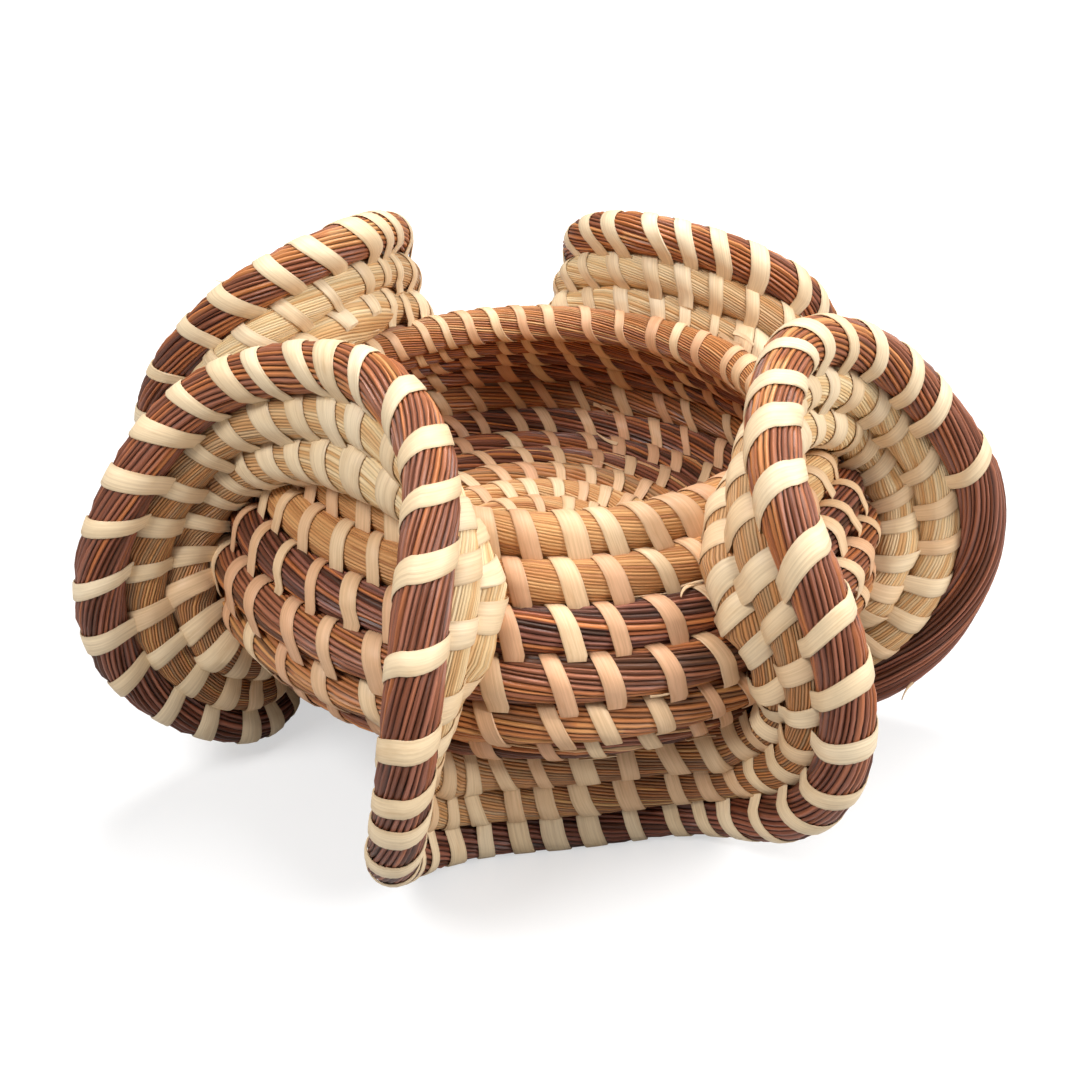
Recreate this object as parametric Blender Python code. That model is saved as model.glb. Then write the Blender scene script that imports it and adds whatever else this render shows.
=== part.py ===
"""A coiled grass basket: a round bowl wound from one coil of bundled grass, carried clear of
the floor on the four low folds of a ruffle that is wound on round it.

Lengths are in metres, +Z is up, and the front is -Y. Azimuth runs from the front toward +X.
"""

import math

import bmesh
import bpy
import numpy as np
from mathutils import Vector

MM = 0.001
TURN = 2 * math.pi

# The coil, sewn row on row.
ROW_PITCH = 9.0 * MM            # from one row's centreline to the next
ROW_GAP = 0.5 * MM              # room that stays between two rows
COIL_DIAMETER = ROW_PITCH - ROW_GAP
EDGE_DIAMETER = 10.0 * MM       # the ruffle's edge bundle is fuller
TAIL_DIAMETER = 2.6 * MM        # a bundle's tapered end
JOIN_GAP = 0.3 * MM             # room between the cut ends of two bundles

# The bowl, along the centreline of its wall, with heights measured from the rim's row.
MOUTH_RADIUS = 53.0 * MM
SHOULDER_FALL = math.radians(43)    # how steeply the shoulder falls outward from the mouth
BELLY_RADIUS = 72.5 * MM
BELLY_BEND = 15.0 * MM          # radius of the turn from the shoulder to the flat base
KNOT_DIAMETER = 20.0 * MM       # the tied start that the innermost row goes round
ROW_CLIMB = 60.0 * MM           # length over which a row steps up onto the one before
CLIMB_AZIMUTH = math.radians(90)
POINTS_PER_LOOP = 24

# Bundles of the bowl in order from the rim inward: name, share of the rows, colour and
# roughness. The shares are the row counts of the real bowl, which has twelve rows.
BOWL_BUNDLES = (
    ("shoulder_coil", 2, (0.72, 0.50, 0.25), 0.62),
    ("wall_coil", 2, (0.27, 0.13, 0.07), 0.55),
    ("belly_coil", 1, (0.46, 0.21, 0.08), 0.55),
    ("base_coil", 3, (0.24, 0.11, 0.06), 0.58),
    ("floor_border_coil", 1, (0.48, 0.24, 0.10), 0.58),
    ("floor_coil", 3, (0.70, 0.50, 0.27), 0.65),
)
KNOT_LOOK = ((0.66, 0.46, 0.24), 0.65)
RUFFLE_LOOK = ((0.68, 0.47, 0.24), 0.62)
EDGE_LOOK = ((0.20, 0.09, 0.05), 0.52)

# The ruffle: FOLDS waves round the bowl. A fold's crest stands on the rim and its trough
# hangs under the belly, where it carries the basket. Each value below is the size of one
# part of the wave; the uneven ones make the folds differ, as they do on hand-sewn work.
FOLDS = 4
FIRST_CREST = math.radians(-35)
RUFFLE_SLACK = 0.4 * MM         # how much looser the ruffle's rows are sewn than the bowl's
RUFFLE_PITCH = ROW_PITCH + RUFFLE_SLACK
STAND_FLAT = 1.0 * MM           # how much of the edge bundle's underside is flat on the floor
STAND_HEIGHT = EDGE_DIAMETER / 2 - STAND_FLAT
BUNDLE_STIFFNESS = 5.0 * MM     # length over which a bundle rounds off a corner

# The ruffle's seam runs down the wall from above the rim to past the belly's bend.
SEAM_RISE = 2.0 * MM
SEAM_TUCK = 5.0 * MM
SEAM_SQUARE = 3.0 * MM
SEAM_RIPPLE = 1.5 * MM
SEAM_UNEVEN_SIDE = 4.0 * MM
SEAM_UNEVEN_FRONT = 2.5 * MM
SEAM_UNEVEN_TWO = 2.5 * MM

# How far the seam swings sideways, so that each fold is wider at its end than at its neck.
SWING = math.radians(11)
SWING_SKEW = math.radians(3)
SWING_RIPPLE = math.radians(3)
SWING_UNEVEN_SIDE = math.radians(5)
SWING_UNEVEN_FRONT = math.radians(2)
SWING_UNEVEN_THREE = math.radians(2)

# How the rows stand off the wall: up at a crest, out between, down and under at a trough.
TILT_MEAN = math.radians(-9)
TILT_WAVE = math.radians(102)
TILT_SKEW = math.radians(1)
TILT_SQUARE = math.radians(10)
TILT_RIPPLE = math.radians(10)
TILT_UNEVEN_SIDE = math.radians(5)
TILT_UNEVEN_FRONT = math.radians(3)

# How the rows lean sideways along the ruffle.
LEAN_MEAN = math.radians(9)
LEAN_SKEW = math.radians(1)
LEAN_WAVE = math.radians(15)
LEAN_SIDE = math.radians(7)
LEAN_SQUARE = math.radians(1)
LEAN_RIPPLE = math.radians(15)
LEAN_EVEN = math.radians(12)

RUFFLE_START = math.radians(190)    # under the back trough, where its ends are tucked away
RUFFLE_CLIMB = math.radians(6)      # half of the sweep over which a row steps up
POINTS_PER_ROW = 124            # of the ruffle's two grass rows
POINTS_PER_EDGE = 138
FINE_STEPS = 1500               # per turn, for the smooth path behind those points
CORNER_SHARE = 4.0              # crowding of points at bends, in bends of a row's pitch
SMOOTH_REACH_SHARE = 3          # how far the rounding looks, in bundle stiffnesses
LEVEL_ROUNDS = 8

# How the gaps are measured: places tried between two points of a path, the stretch in
# bundle widths that counts as the same place, and the share of a span that is its end.
PLACES_PER_SPAN = 4
SAME_PLACE_SHARE = 2.5
END_SHARE = 0.02
WELD_DISTANCE = 0.003 * MM

SIDES_COIL = 1                  # bevel resolution: six sides
SIDES_EDGE = 2                  # eight sides
KNOT_SEGMENTS = 16
KNOT_RINGS = 8
CUT_OVERRUN = 20.0 * MM


def clear_scene():
    for obj in list(bpy.data.objects):
        bpy.data.objects.remove(obj, do_unlink=True)


def smooth_step(share):
    share = np.clip(share, 0, 1)
    return share * share * (3 - 2 * share)


def on_circle(radius, azimuth, height):
    """Points at a radius from the bowl's axis."""
    return np.stack([radius * np.sin(azimuth), -radius * np.cos(azimuth), height], 1)


def wall_sizes():
    """Lengths of the straight shoulder and of the bend, and the bend's centre."""
    centre_radius = BELLY_RADIUS - BELLY_BEND
    shoulder_end = centre_radius + BELLY_BEND * math.sin(SHOULDER_FALL)
    shoulder = (shoulder_end - MOUTH_RADIUS) / math.cos(SHOULDER_FALL)
    bend = (math.pi - SHOULDER_FALL) * BELLY_BEND
    centre_height = (-shoulder * math.sin(SHOULDER_FALL)
                     - BELLY_BEND * math.cos(SHOULDER_FALL))
    return shoulder, bend, centre_radius, centre_height


def wall_at(depth):
    """Radius, height and fall of the wall's centreline, a length down from the rim."""
    shoulder, bend, centre_radius, centre_height = wall_sizes()
    depth = np.asarray(depth, float)
    fall = np.clip(SHOULDER_FALL + (depth - shoulder) / BELLY_BEND, SHOULDER_FALL, math.pi)
    on_shoulder = np.minimum(depth - shoulder, 0)
    on_base = np.maximum(depth - shoulder - bend, 0)
    radius = (centre_radius + BELLY_BEND * np.sin(fall)
              + on_shoulder * math.cos(SHOULDER_FALL) - on_base)
    height = (centre_height + BELLY_BEND * np.cos(fall)
              - on_shoulder * math.sin(SHOULDER_FALL))
    return radius, height, fall


def bowl_layout():
    """How many rows the bowl has, and the pitch that brings the last one round the knot."""
    shoulder, bend, centre_radius, _ = wall_sizes()
    innermost = KNOT_DIAMETER / 2 + JOIN_GAP + COIL_DIAMETER / 2
    length = shoulder + bend + centre_radius - innermost
    steps = max(round(length / ROW_PITCH), 1)
    return steps + 1, length / steps


BOWL_ROWS, BOWL_PITCH = bowl_layout()
BOWL_COIL = BOWL_PITCH - ROW_GAP


def bowl_rows(wound):
    """The row reached at each angle wound in from the rim, and the bundle's diameter.

    Each row runs level and then steps up onto the row before it. The coil's two ends taper
    off beside a step, so that the mouth stays level and the knot's place stays round.
    """
    lap = np.round(wound / TURN)
    between = wall_at((np.maximum(lap, 1) - 0.5) * BOWL_PITCH)[0]
    sweep = np.minimum(ROW_CLIMB / 2 / between, math.pi)
    climb = smooth_step(((wound - lap * TURN) / sweep + 1) / 2)
    row = np.where(lap < 1, (climb - 1) / 2, lap - 1 + climb)
    row = np.where(lap >= BOWL_ROWS, lap - 1 + climb / 2, row)
    room = np.where(lap < 1, climb * BOWL_PITCH - ROW_GAP, BOWL_COIL)
    room = np.where(lap >= BOWL_ROWS, (1 - climb) * BOWL_PITCH - ROW_GAP, room)
    return row, np.clip(room, TAIL_DIAMETER, BOWL_COIL)


def bowl_points(wound):
    row, width = bowl_rows(wound)
    radius, height, _ = wall_at(row * BOWL_PITCH)
    return on_circle(radius, CLIMB_AZIMUTH + wound, height), width


def squared_ends(path, width, ahead_first, ahead_last):
    """The path with a short straight run at each end, so that two bundles meet squarely."""
    run = np.minimum(width[[0, -1]], np.linalg.norm(path[[1, -2]] - path[[0, -1]], axis=1)) / 2
    first = path[0] + ahead_first / np.linalg.norm(ahead_first) * run[0]
    last = path[-1] - ahead_last / np.linalg.norm(ahead_last) * run[1]
    squared = np.vstack([path[:1], first, path[1:-1], last, path[-1:]])
    return squared, np.r_[width[0], width, width[-1]]


def bowl_path(start, end):
    """Centreline and diameters of the coil between two angles wound in from the rim."""
    count = max(round((end - start) / TURN * POINTS_PER_LOOP), 2)
    path, width = bowl_points(np.linspace(start, end, count + 1))
    nudge = TURN / FINE_STEPS
    ends = bowl_points(np.array([start, start + nudge, end - nudge, end]))[0]
    return squared_ends(path, width, ends[1] - ends[0], ends[3] - ends[2])


def bowl_limits():
    """Angles at which the coil starts at the rim and ends at the knot."""
    near = np.linspace(-math.pi / 2, math.pi / 2, FINE_STEPS)
    start = near[np.argmax(bowl_rows(near)[1] > TAIL_DIAMETER)]
    near += BOWL_ROWS * TURN
    end = near[len(near) - 1 - np.argmax(bowl_rows(near[::-1])[1] > TAIL_DIAMETER)]
    return start, end


def bowl_coils():
    """Each bundle of the bowl: name, centreline, diameters, colour and roughness."""
    start, last = bowl_limits()
    whole = sum(bundle[1] for bundle in BOWL_BUNDLES)
    done = 0
    coils = []
    for name, share, colour, rough in BOWL_BUNDLES:
        done += share
        end = last if done == whole else done / whole * BOWL_ROWS * TURN
        radius = wall_at(bowl_rows(np.array([start, end]))[0] * BOWL_PITCH)[0]
        trim = JOIN_GAP / 2 / radius
        path, width = bowl_path(start + trim[0], end - trim[1])
        coils.append((name, path, width, colour, rough))
        start = end
    return coils


def ruffle_wave(azimuth):
    """Seam depth, seam azimuth, tilt and lean of the ruffle at an azimuth of its wave."""
    fold = FOLDS * (azimuth - FIRST_CREST)
    shoulder, bend, _, _ = wall_sizes()
    lowest = shoulder + bend + SEAM_TUCK
    depth = ((lowest - SEAM_RISE) / 2 - (lowest + SEAM_RISE) / 2 * np.cos(fold)
             - SEAM_SQUARE * np.cos(2 * fold)
             + SEAM_RIPPLE * np.cos(3 * fold) + SEAM_UNEVEN_SIDE * np.sin(azimuth)
             - SEAM_UNEVEN_FRONT * np.cos(azimuth) - SEAM_UNEVEN_TWO * np.sin(2 * azimuth))
    seam = (azimuth + SWING * np.sin(2 * fold) + SWING_SKEW * np.cos(fold)
            - SWING_RIPPLE * np.sin(4 * fold) + SWING_UNEVEN_SIDE * np.sin(azimuth)
            - SWING_UNEVEN_FRONT * np.cos(azimuth) + SWING_UNEVEN_THREE * np.cos(3 * azimuth))
    tilt = (TILT_MEAN + TILT_WAVE * np.cos(fold) - TILT_SKEW * np.sin(fold)
            + TILT_SQUARE * np.cos(2 * fold) - TILT_RIPPLE * np.cos(3 * fold)
            - TILT_UNEVEN_SIDE * np.sin(azimuth) - TILT_UNEVEN_FRONT * np.cos(azimuth))
    lean = (-LEAN_MEAN - LEAN_SKEW * np.sin(fold) + LEAN_WAVE * np.cos(fold)
            - LEAN_SIDE * np.sin(2 * fold) + LEAN_SQUARE * np.cos(2 * fold)
            + LEAN_RIPPLE * np.sin(4 * fold) + LEAN_EVEN * np.cos(4 * fold))
    return depth, seam, tilt, lean


def ruffle_at(azimuth, row):
    """Points of the ruffle: row 0 lies on the wall, row 1 on it and row 2 is the edge."""
    depth, seam, tilt, lean = ruffle_wave(azimuth)
    radius, height, fall = wall_at(depth)
    out = radius + ROW_PITCH * np.sin(fall)
    up = height + ROW_PITCH * np.cos(fall)
    seat = on_circle(out, seam, up)
    outward = on_circle(np.ones_like(seam), seam, np.zeros_like(seam))
    sideways = np.stack([np.cos(seam), np.sin(seam), np.zeros_like(seam)], 1)
    rise = np.array([[0.0, 0.0, 1.0]])
    across = (outward * (np.cos(tilt) * np.cos(lean))[:, None]
              + sideways * (np.cos(tilt) * np.sin(lean))[:, None]
              + rise * np.sin(tilt)[:, None])
    return seat + across * (row * RUFFLE_PITCH)[:, None]


def lengths_along(path):
    return np.r_[0, np.cumsum(np.linalg.norm(np.diff(path, axis=0), axis=1))]


def rounded(path):
    """The path with its corners rounded off as far as a stiff bundle would round them."""
    along = lengths_along(path)
    even = np.linspace(0, along[-1], len(path))
    points = np.stack([np.interp(even, along, path[:, k]) for k in range(3)], 1)
    step = even[1]
    reach = int(math.ceil(SMOOTH_REACH_SHARE * BUNDLE_STIFFNESS / step))
    offsets = np.arange(-reach, reach + 1) * step
    weight = np.exp(-0.5 * (offsets / BUNDLE_STIFFNESS) ** 2)
    weight /= weight.sum()
    padded = np.pad(points, ((reach, reach), (0, 0)), mode="edge")
    soft = np.stack([np.convolve(padded[:, k], weight, "valid") for k in range(3)], 1)
    return np.stack([np.interp(along, even, soft[:, k]) for k in range(3)], 1)


def ruffle_fine(start, end, row_of):
    """Smooth path of the ruffle's coil between two wound angles, run on past both ends."""
    extra = TURN / FOLDS / 2
    count = int((end - start + 2 * extra) / TURN * FINE_STEPS)
    wound = np.linspace(start - extra, end + extra, count)
    path = rounded(ruffle_at(RUFFLE_START + wound, row_of(wound)))
    keep = (wound >= start) & (wound <= end)
    return wound[keep], path[keep]


def trough_share(azimuth):
    """One at the bottom of each trough, easing to nothing at the crests beside it."""
    fold = FOLDS * (azimuth - FIRST_CREST)
    return ((1 - np.cos(fold)) / 2) ** 2


def trough_of(azimuth):
    return np.floor((azimuth - FIRST_CREST) / (TURN / FOLDS)).astype(int) % FOLDS


def levelling():
    """The floor's height, and how far each trough moves so that all of them stand on it."""
    wound, path = ruffle_fine(0, TURN, lambda angle: np.full_like(angle, 2.0))
    azimuth = RUFFLE_START + wound
    trough = trough_of(azimuth)
    level = np.mean([path[trough == fold, 2].min() for fold in range(FOLDS)])
    moves = np.zeros(FOLDS)
    for fold in range(FOLDS):
        here = trough == fold
        share = trough_share(azimuth[here])
        for _ in range(LEVEL_ROUNDS):
            moves[fold] += level - (path[here, 2] + moves[fold] * share).min()
    return level - STAND_HEIGHT, moves


def levelled(path, wound, row, moves):
    azimuth = RUFFLE_START + wound
    moved = path.copy()
    moved[:, 2] += moves[trough_of(azimuth)] * trough_share(azimuth) * row / 2
    return moved


def spread(path, count):
    """Places for points along a path: crowded where it bends, apart where it is straight."""
    along = lengths_along(path)
    ahead = np.gradient(path, along, axis=0)
    bend = np.linalg.norm(np.gradient(ahead, along, axis=0), axis=1)
    crowd = np.sqrt(1 + (bend * ROW_PITCH * CORNER_SHARE) ** 2)
    paid = np.r_[0, np.cumsum((crowd[1:] + crowd[:-1]) / 2 * np.diff(along))]
    return np.interp(np.linspace(0, paid[-1], count), paid, np.arange(len(path)))


def ruffle_row(wound):
    """Row reached at each wound angle: a step up at the end of each turn.

    The first row's start tapers under its step and the edge's end tapers over its own.
    """
    lap = np.round(wound / TURN)
    climb = smooth_step(((wound - lap * TURN) / RUFFLE_CLIMB + 1) / 2)
    row = np.where(lap < 1, (climb - 1) / 2, lap - 1 + climb)
    return np.where(lap > 2, 2 + climb / 2, row)


def ruffle_width(wound, full):
    lap = np.round(wound / TURN)
    climb = smooth_step(((wound - lap * TURN) / RUFFLE_CLIMB + 1) / 2)
    width = np.full_like(wound, full)
    width = np.where(lap < 1, climb * RUFFLE_PITCH - ROW_GAP, width)
    width = np.where(lap > 2, (1 - climb) * RUFFLE_PITCH - ROW_GAP, width)
    return np.clip(width, TAIL_DIAMETER, full)


def ruffle_coil(start, end, count, full, moves):
    """Centreline and diameters of the ruffle's coil between two wound angles."""
    wound, path = ruffle_fine(start, end, ruffle_row)
    path = levelled(path, wound, ruffle_row(wound), moves)
    at = spread(path, count)
    index = np.arange(len(wound))
    angle = np.interp(at, index, wound)
    points = np.stack([np.interp(at, index, path[:, k]) for k in range(3)], 1)
    return squared_ends(points, ruffle_width(angle, full), path[1] - path[0],
                        path[-1] - path[-2])


def ruffle_coils(moves):
    """The ruffle's two grass rows as one coil, and its edge bundle as one more turn."""
    fine = np.linspace(-RUFFLE_CLIMB, RUFFLE_CLIMB, FINE_STEPS)
    first = fine[np.argmax(ruffle_width(fine, COIL_DIAMETER) > TAIL_DIAMETER)]
    last = fine[len(fine) - 1 - np.argmax(
        ruffle_width(fine[::-1] + 3 * TURN, EDGE_DIAMETER) > TAIL_DIAMETER)] + 3 * TURN
    seam = 2 * TURN
    rate = np.linalg.norm(np.diff(ruffle_fine(seam, seam + RUFFLE_CLIMB, ruffle_row)[1][:2],
                                  axis=0)) / (TURN / FINE_STEPS)
    trim = JOIN_GAP / 2 / rate
    grass = ruffle_coil(first, seam - trim, 2 * POINTS_PER_ROW, COIL_DIAMETER, moves)
    edge = ruffle_coil(seam + trim, last, POINTS_PER_EDGE, EDGE_DIAMETER, moves)
    return [("ruffle_coil", *grass, *RUFFLE_LOOK), ("ruffle_edge_coil", *edge, *EDGE_LOOK)]


def sampled(path, values):
    """The path and its values with extra places between its points."""
    index = np.arange(len(path))
    fine = np.linspace(0, len(path) - 1, (len(path) - 1) * PLACES_PER_SPAN + 1)
    places = np.stack([np.interp(fine, index, path[:, k]) for k in range(3)], 1)
    return fine, places, np.interp(fine, index, values)


def nearest(places, path):
    """Distance from each place to a path, and where on the path it is least."""
    start, run = path[:-1], np.diff(path, axis=0)
    offset = places[:, None] - start[None]
    share = np.clip((offset * run).sum(2) / (run * run).sum(1), 0, 1)
    apart = np.linalg.norm(offset - run * share[..., None], axis=2)
    best = apart.argmin(1)
    pick = np.arange(len(places))
    return apart[pick, best], best + share[pick, best]


def self_distance(path, clear):
    """Distance from each point to the parts of its own path past a length along it."""
    along = lengths_along(path)
    start, run = path[:-1], np.diff(path, axis=0)
    offset = path[:, None] - start[None]
    share = np.clip((offset * run).sum(2) / (run * run).sum(1), 0, 1)
    apart = np.linalg.norm(offset - run * share[..., None], axis=2)
    near = np.abs(along[:, None] - along[None, :-1]) < clear
    near |= np.abs(along[:, None] - along[None, 1:]) < clear
    apart[near] = np.inf
    return apart.min(1)


def squeeze(coils):
    """Narrows each bundle where rows crowd, so that a gap stays between any two."""
    narrowed = []
    for index, (name, path, width, colour, rough) in enumerate(coils):
        room = np.minimum(width, self_distance(path, SAME_PLACE_SHARE * COIL_DIAMETER) - ROW_GAP)
        fine, places, wide = sampled(path, width)
        allowed = np.interp(fine, np.arange(len(path)), room)
        for other, (_, beside, their_width, _, _) in enumerate(coils):
            if other == index:
                continue
            apart, at = nearest(places, beside)
            theirs = np.interp(at, np.arange(len(beside)), their_width)
            inside = (at > END_SHARE) & (at < len(beside) - 1 - END_SHARE)
            share = 2 * (apart - ROW_GAP) * wide / (wide + theirs)
            allowed = np.where(inside, np.minimum(allowed, share), allowed)
        kept = np.minimum(room, [allowed[np.abs(fine - k) < 1].min()
                                 for k in range(len(path))])
        narrowed.append((name, path, kept, colour, rough))
    return narrowed


def report_gaps(coils):
    """Prints the least gap of each coil to itself, measured on its points."""
    for name, path, width, _, _ in coils:
        apart = self_distance(path, SAME_PLACE_SHARE * COIL_DIAMETER)
        gap = (apart - width).min()
        print(f"{name}: {len(path)} points, {lengths_along(path)[-1] / MM:.0f} mm long, "
              f"bundle {width.min() / MM:.1f} to {width.max() / MM:.1f} mm, "
              f"least gap to itself {gap / MM:.2f} mm")


def material(name, colour, rough):
    made = bpy.data.materials.new(name)
    made.use_nodes = True
    shader = made.node_tree.nodes["Principled BSDF"]
    shader.inputs["Base Color"].default_value = (*colour, 1)
    shader.inputs["Roughness"].default_value = rough
    shader.inputs["Metallic"].default_value = 0
    return made


def tube(name, path, width, colour, rough, sides, collection):
    """One unbroken bundle: a curve with round section and closed ends."""
    curve = bpy.data.curves.new(name, "CURVE")
    curve.dimensions = "3D"
    curve.resolution_u = 1
    curve.render_resolution_u = 0
    curve.bevel_depth = float(width.max()) / 2
    curve.bevel_resolution = sides
    curve.use_fill_caps = True
    spline = curve.splines.new("POLY")
    spline.points.add(len(path) - 1)
    for point, place, wide in zip(spline.points, path, width):
        point.co = (*place, 1)
        point.radius = wide / width.max()
    spline.use_smooth = True
    obj = bpy.data.objects.new(name, curve)
    curve.materials.append(material(name, colour, rough))
    collection.objects.link(obj)
    return obj


def as_mesh(obj, collection):
    """The curve object as a closed mesh object of the same name."""
    graph = bpy.context.evaluated_depsgraph_get()
    mesh = bpy.data.meshes.new_from_object(obj.evaluated_get(graph))
    name, place = obj.name, obj.matrix_world.copy()
    bpy.data.objects.remove(obj, do_unlink=True)
    shape = bmesh.new()
    shape.from_mesh(mesh)
    bmesh.ops.remove_doubles(shape, verts=shape.verts, dist=WELD_DISTANCE)
    shape.to_mesh(mesh)
    shape.free()
    made = bpy.data.objects.new(name, mesh)
    made.matrix_world = place
    collection.objects.link(made)
    return made


def cut_level(obj, floor, cutters):
    """Cuts the piece flat at the floor, where its lowest folds bear."""
    reach = 2 * BELLY_RADIUS
    bpy.ops.mesh.primitive_cube_add(size=1)
    block = bpy.context.object
    block.name = "floor_cutter"
    block.scale = (2 * reach, 2 * reach, CUT_OVERRUN)
    block.location = (0, 0, floor - CUT_OVERRUN / 2)
    for home in list(block.users_collection):
        home.objects.unlink(block)
    cutters.objects.link(block)
    block.hide_render = True
    block.display_type = "WIRE"
    cut = obj.modifiers.new("stand_flat", "BOOLEAN")
    cut.operation = "DIFFERENCE"
    cut.solver = "EXACT"
    cut.object = block
    return block


def knot(collection):
    """The tied start of the coil: a flattened button that fills the last row's hole."""
    last_row, height, _ = wall_at((BOWL_ROWS - 1) * BOWL_PITCH)
    flat = last_row * math.cos(TURN / POINTS_PER_LOOP / 2)
    across = 2 * (flat - BOWL_COIL / 2 - JOIN_GAP)
    bpy.ops.mesh.primitive_uv_sphere_add(
        segments=KNOT_SEGMENTS, ring_count=KNOT_RINGS, radius=1, location=(0, 0, height))
    obj = bpy.context.object
    obj.name = "start_knot"
    obj.scale = (across / 2, across / 2, BOWL_COIL / 2)
    for home in list(obj.users_collection):
        home.objects.unlink(obj)
    collection.objects.link(obj)
    obj.data.materials.append(material("start_knot", *KNOT_LOOK))
    obj.data.shade_smooth()
    return obj


def box_centre(objects):
    """Centre, seen from above, of the box round all the pieces."""
    bpy.context.view_layer.update()
    graph = bpy.context.evaluated_depsgraph_get()
    low, high = Vector((math.inf,) * 3), Vector((-math.inf,) * 3)
    for obj in objects:
        evaluated = obj.evaluated_get(graph)
        mesh = evaluated.to_mesh()
        for vertex in mesh.vertices:
            place = evaluated.matrix_world @ vertex.co
            low = Vector(map(min, low, place))
            high = Vector(map(max, high, place))
        evaluated.to_mesh_clear()
    print("box", [round(v / MM, 2) for v in (high - low)],
          "lowest", round(low.z / MM, 3))
    return (low + high) / 2


def main():
    clear_scene()
    basket = bpy.data.collections.new("coiled_basket")
    cutters = bpy.data.collections.new("cutters")
    bpy.context.scene.collection.children.link(basket)
    bpy.context.scene.collection.children.link(cutters)
    floor, moves = levelling()
    coils = squeeze(bowl_coils() + ruffle_coils(moves))
    report_gaps(coils)
    pieces = [knot(basket)]
    for name, path, width, colour, rough in coils:
        sides = SIDES_EDGE if name == "ruffle_edge_coil" else SIDES_COIL
        pieces.append(tube(name, path, width, colour, rough, sides, basket))
    bpy.context.view_layer.update()
    pieces[-1] = as_mesh(pieces[-1], basket)
    block = cut_level(pieces[-1], floor, cutters)
    centre = box_centre(pieces)
    print("bowl axis", round(-centre.x / MM, 3), round(-centre.y / MM, 3),
          "rim height", round(-floor / MM, 3), "rows", BOWL_ROWS,
          "pitch", round(BOWL_PITCH / MM, 3))
    root = bpy.data.objects.new("basket", None)
    root.location = (-centre.x, -centre.y, -floor)
    basket.objects.link(root)
    for piece in pieces + [block]:
        piece.parent = root
    bpy.context.view_layer.update()


main()
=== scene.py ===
from math import ceil, cos, pi, radians, sin, sqrt

import bpy
import numpy as np
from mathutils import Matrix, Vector


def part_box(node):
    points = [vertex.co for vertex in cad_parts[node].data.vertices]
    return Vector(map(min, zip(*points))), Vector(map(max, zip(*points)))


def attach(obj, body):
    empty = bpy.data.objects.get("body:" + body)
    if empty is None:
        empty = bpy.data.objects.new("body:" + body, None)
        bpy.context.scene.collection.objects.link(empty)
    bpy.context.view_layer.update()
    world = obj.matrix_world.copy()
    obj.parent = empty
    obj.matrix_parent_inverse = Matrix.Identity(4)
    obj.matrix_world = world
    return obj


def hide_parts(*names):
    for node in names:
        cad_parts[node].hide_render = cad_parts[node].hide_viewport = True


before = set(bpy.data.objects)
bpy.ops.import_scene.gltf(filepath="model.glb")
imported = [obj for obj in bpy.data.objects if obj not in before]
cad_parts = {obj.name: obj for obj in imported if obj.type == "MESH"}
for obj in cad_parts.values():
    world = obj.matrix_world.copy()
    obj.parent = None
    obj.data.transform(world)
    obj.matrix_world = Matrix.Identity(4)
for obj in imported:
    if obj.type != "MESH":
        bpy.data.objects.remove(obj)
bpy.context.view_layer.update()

MM = 0.001
TURN = 2 * pi
RNG = np.random.default_rng(7)

# Sizes of the basket, the same as the part's own.
ROW_PITCH = 9.0 * MM
ROW_GAP = 0.5 * MM
COIL_DIAMETER = ROW_PITCH - ROW_GAP
EDGE_DIAMETER = 10.0 * MM
JOIN_GAP = 0.3 * MM
MOUTH_RADIUS = 53.0 * MM
SHOULDER_FALL = radians(43)
BELLY_RADIUS = 72.5 * MM
BELLY_BEND = 15.0 * MM
KNOT_DIAMETER = 20.0 * MM
ROW_CLIMB = 60.0 * MM
CLIMB_AZIMUTH = radians(90)

# Rows of each bundle of the bowl, from the rim inward.
BOWL_BUNDLES = (
    ("shoulder_coil", 2, "sweetgrass"),
    ("wall_coil", 2, "bulrush_dark"),
    ("belly_coil", 1, "needle_orange"),
    ("base_coil", 3, "bulrush_dark"),
    ("floor_border_coil", 1, "needle_orange"),
    ("floor_coil", 3, "sweetgrass"),
)

# The ruffle's wave.
FOLDS = 4
FIRST_CREST = radians(-35)
RUFFLE_SLACK, WORN_FLAT = 0.4 * MM, 1.0 * MM
RUFFLE_PITCH = ROW_PITCH + RUFFLE_SLACK
STAND_HEIGHT = EDGE_DIAMETER / 2 - WORN_FLAT
BUNDLE_STIFFNESS = 5.0 * MM
SEAM_RISE, SEAM_TUCK, SEAM_SQUARE, SEAM_RIPPLE = 2.0 * MM, 5.0 * MM, 3.0 * MM, 1.5 * MM
SEAM_UNEVEN_SIDE, SEAM_UNEVEN_FRONT, SEAM_UNEVEN_TWO = 4.0 * MM, 2.5 * MM, 2.5 * MM
SWING, SWING_SKEW, SWING_RIPPLE = radians(11), radians(3), radians(3)
SWING_UNEVEN_SIDE, SWING_UNEVEN_FRONT = radians(5), radians(2)
SWING_UNEVEN_THREE = radians(2)
TILT_MEAN, TILT_WAVE, TILT_SKEW = radians(-9), radians(102), radians(1)
TILT_SQUARE, TILT_RIPPLE = radians(10), radians(10)
TILT_UNEVEN_SIDE, TILT_UNEVEN_FRONT = radians(5), radians(3)
LEAN_MEAN, LEAN_SKEW, LEAN_WAVE, LEAN_SIDE = radians(9), radians(1), radians(15), radians(7)
LEAN_SQUARE, LEAN_RIPPLE, LEAN_EVEN = radians(1), radians(15), radians(12)
RUFFLE_START = radians(190)
RUFFLE_CLIMB = radians(6)
BOWL_STEPS, FINE_STEPS, TAIL_SAMPLES = 360, 1500, 2001
LEVEL_ROUNDS = 8
NEAREST_BLOCK = 400
LEAST_STEPS, LEAST_SECTIONS = 30, 8

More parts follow.
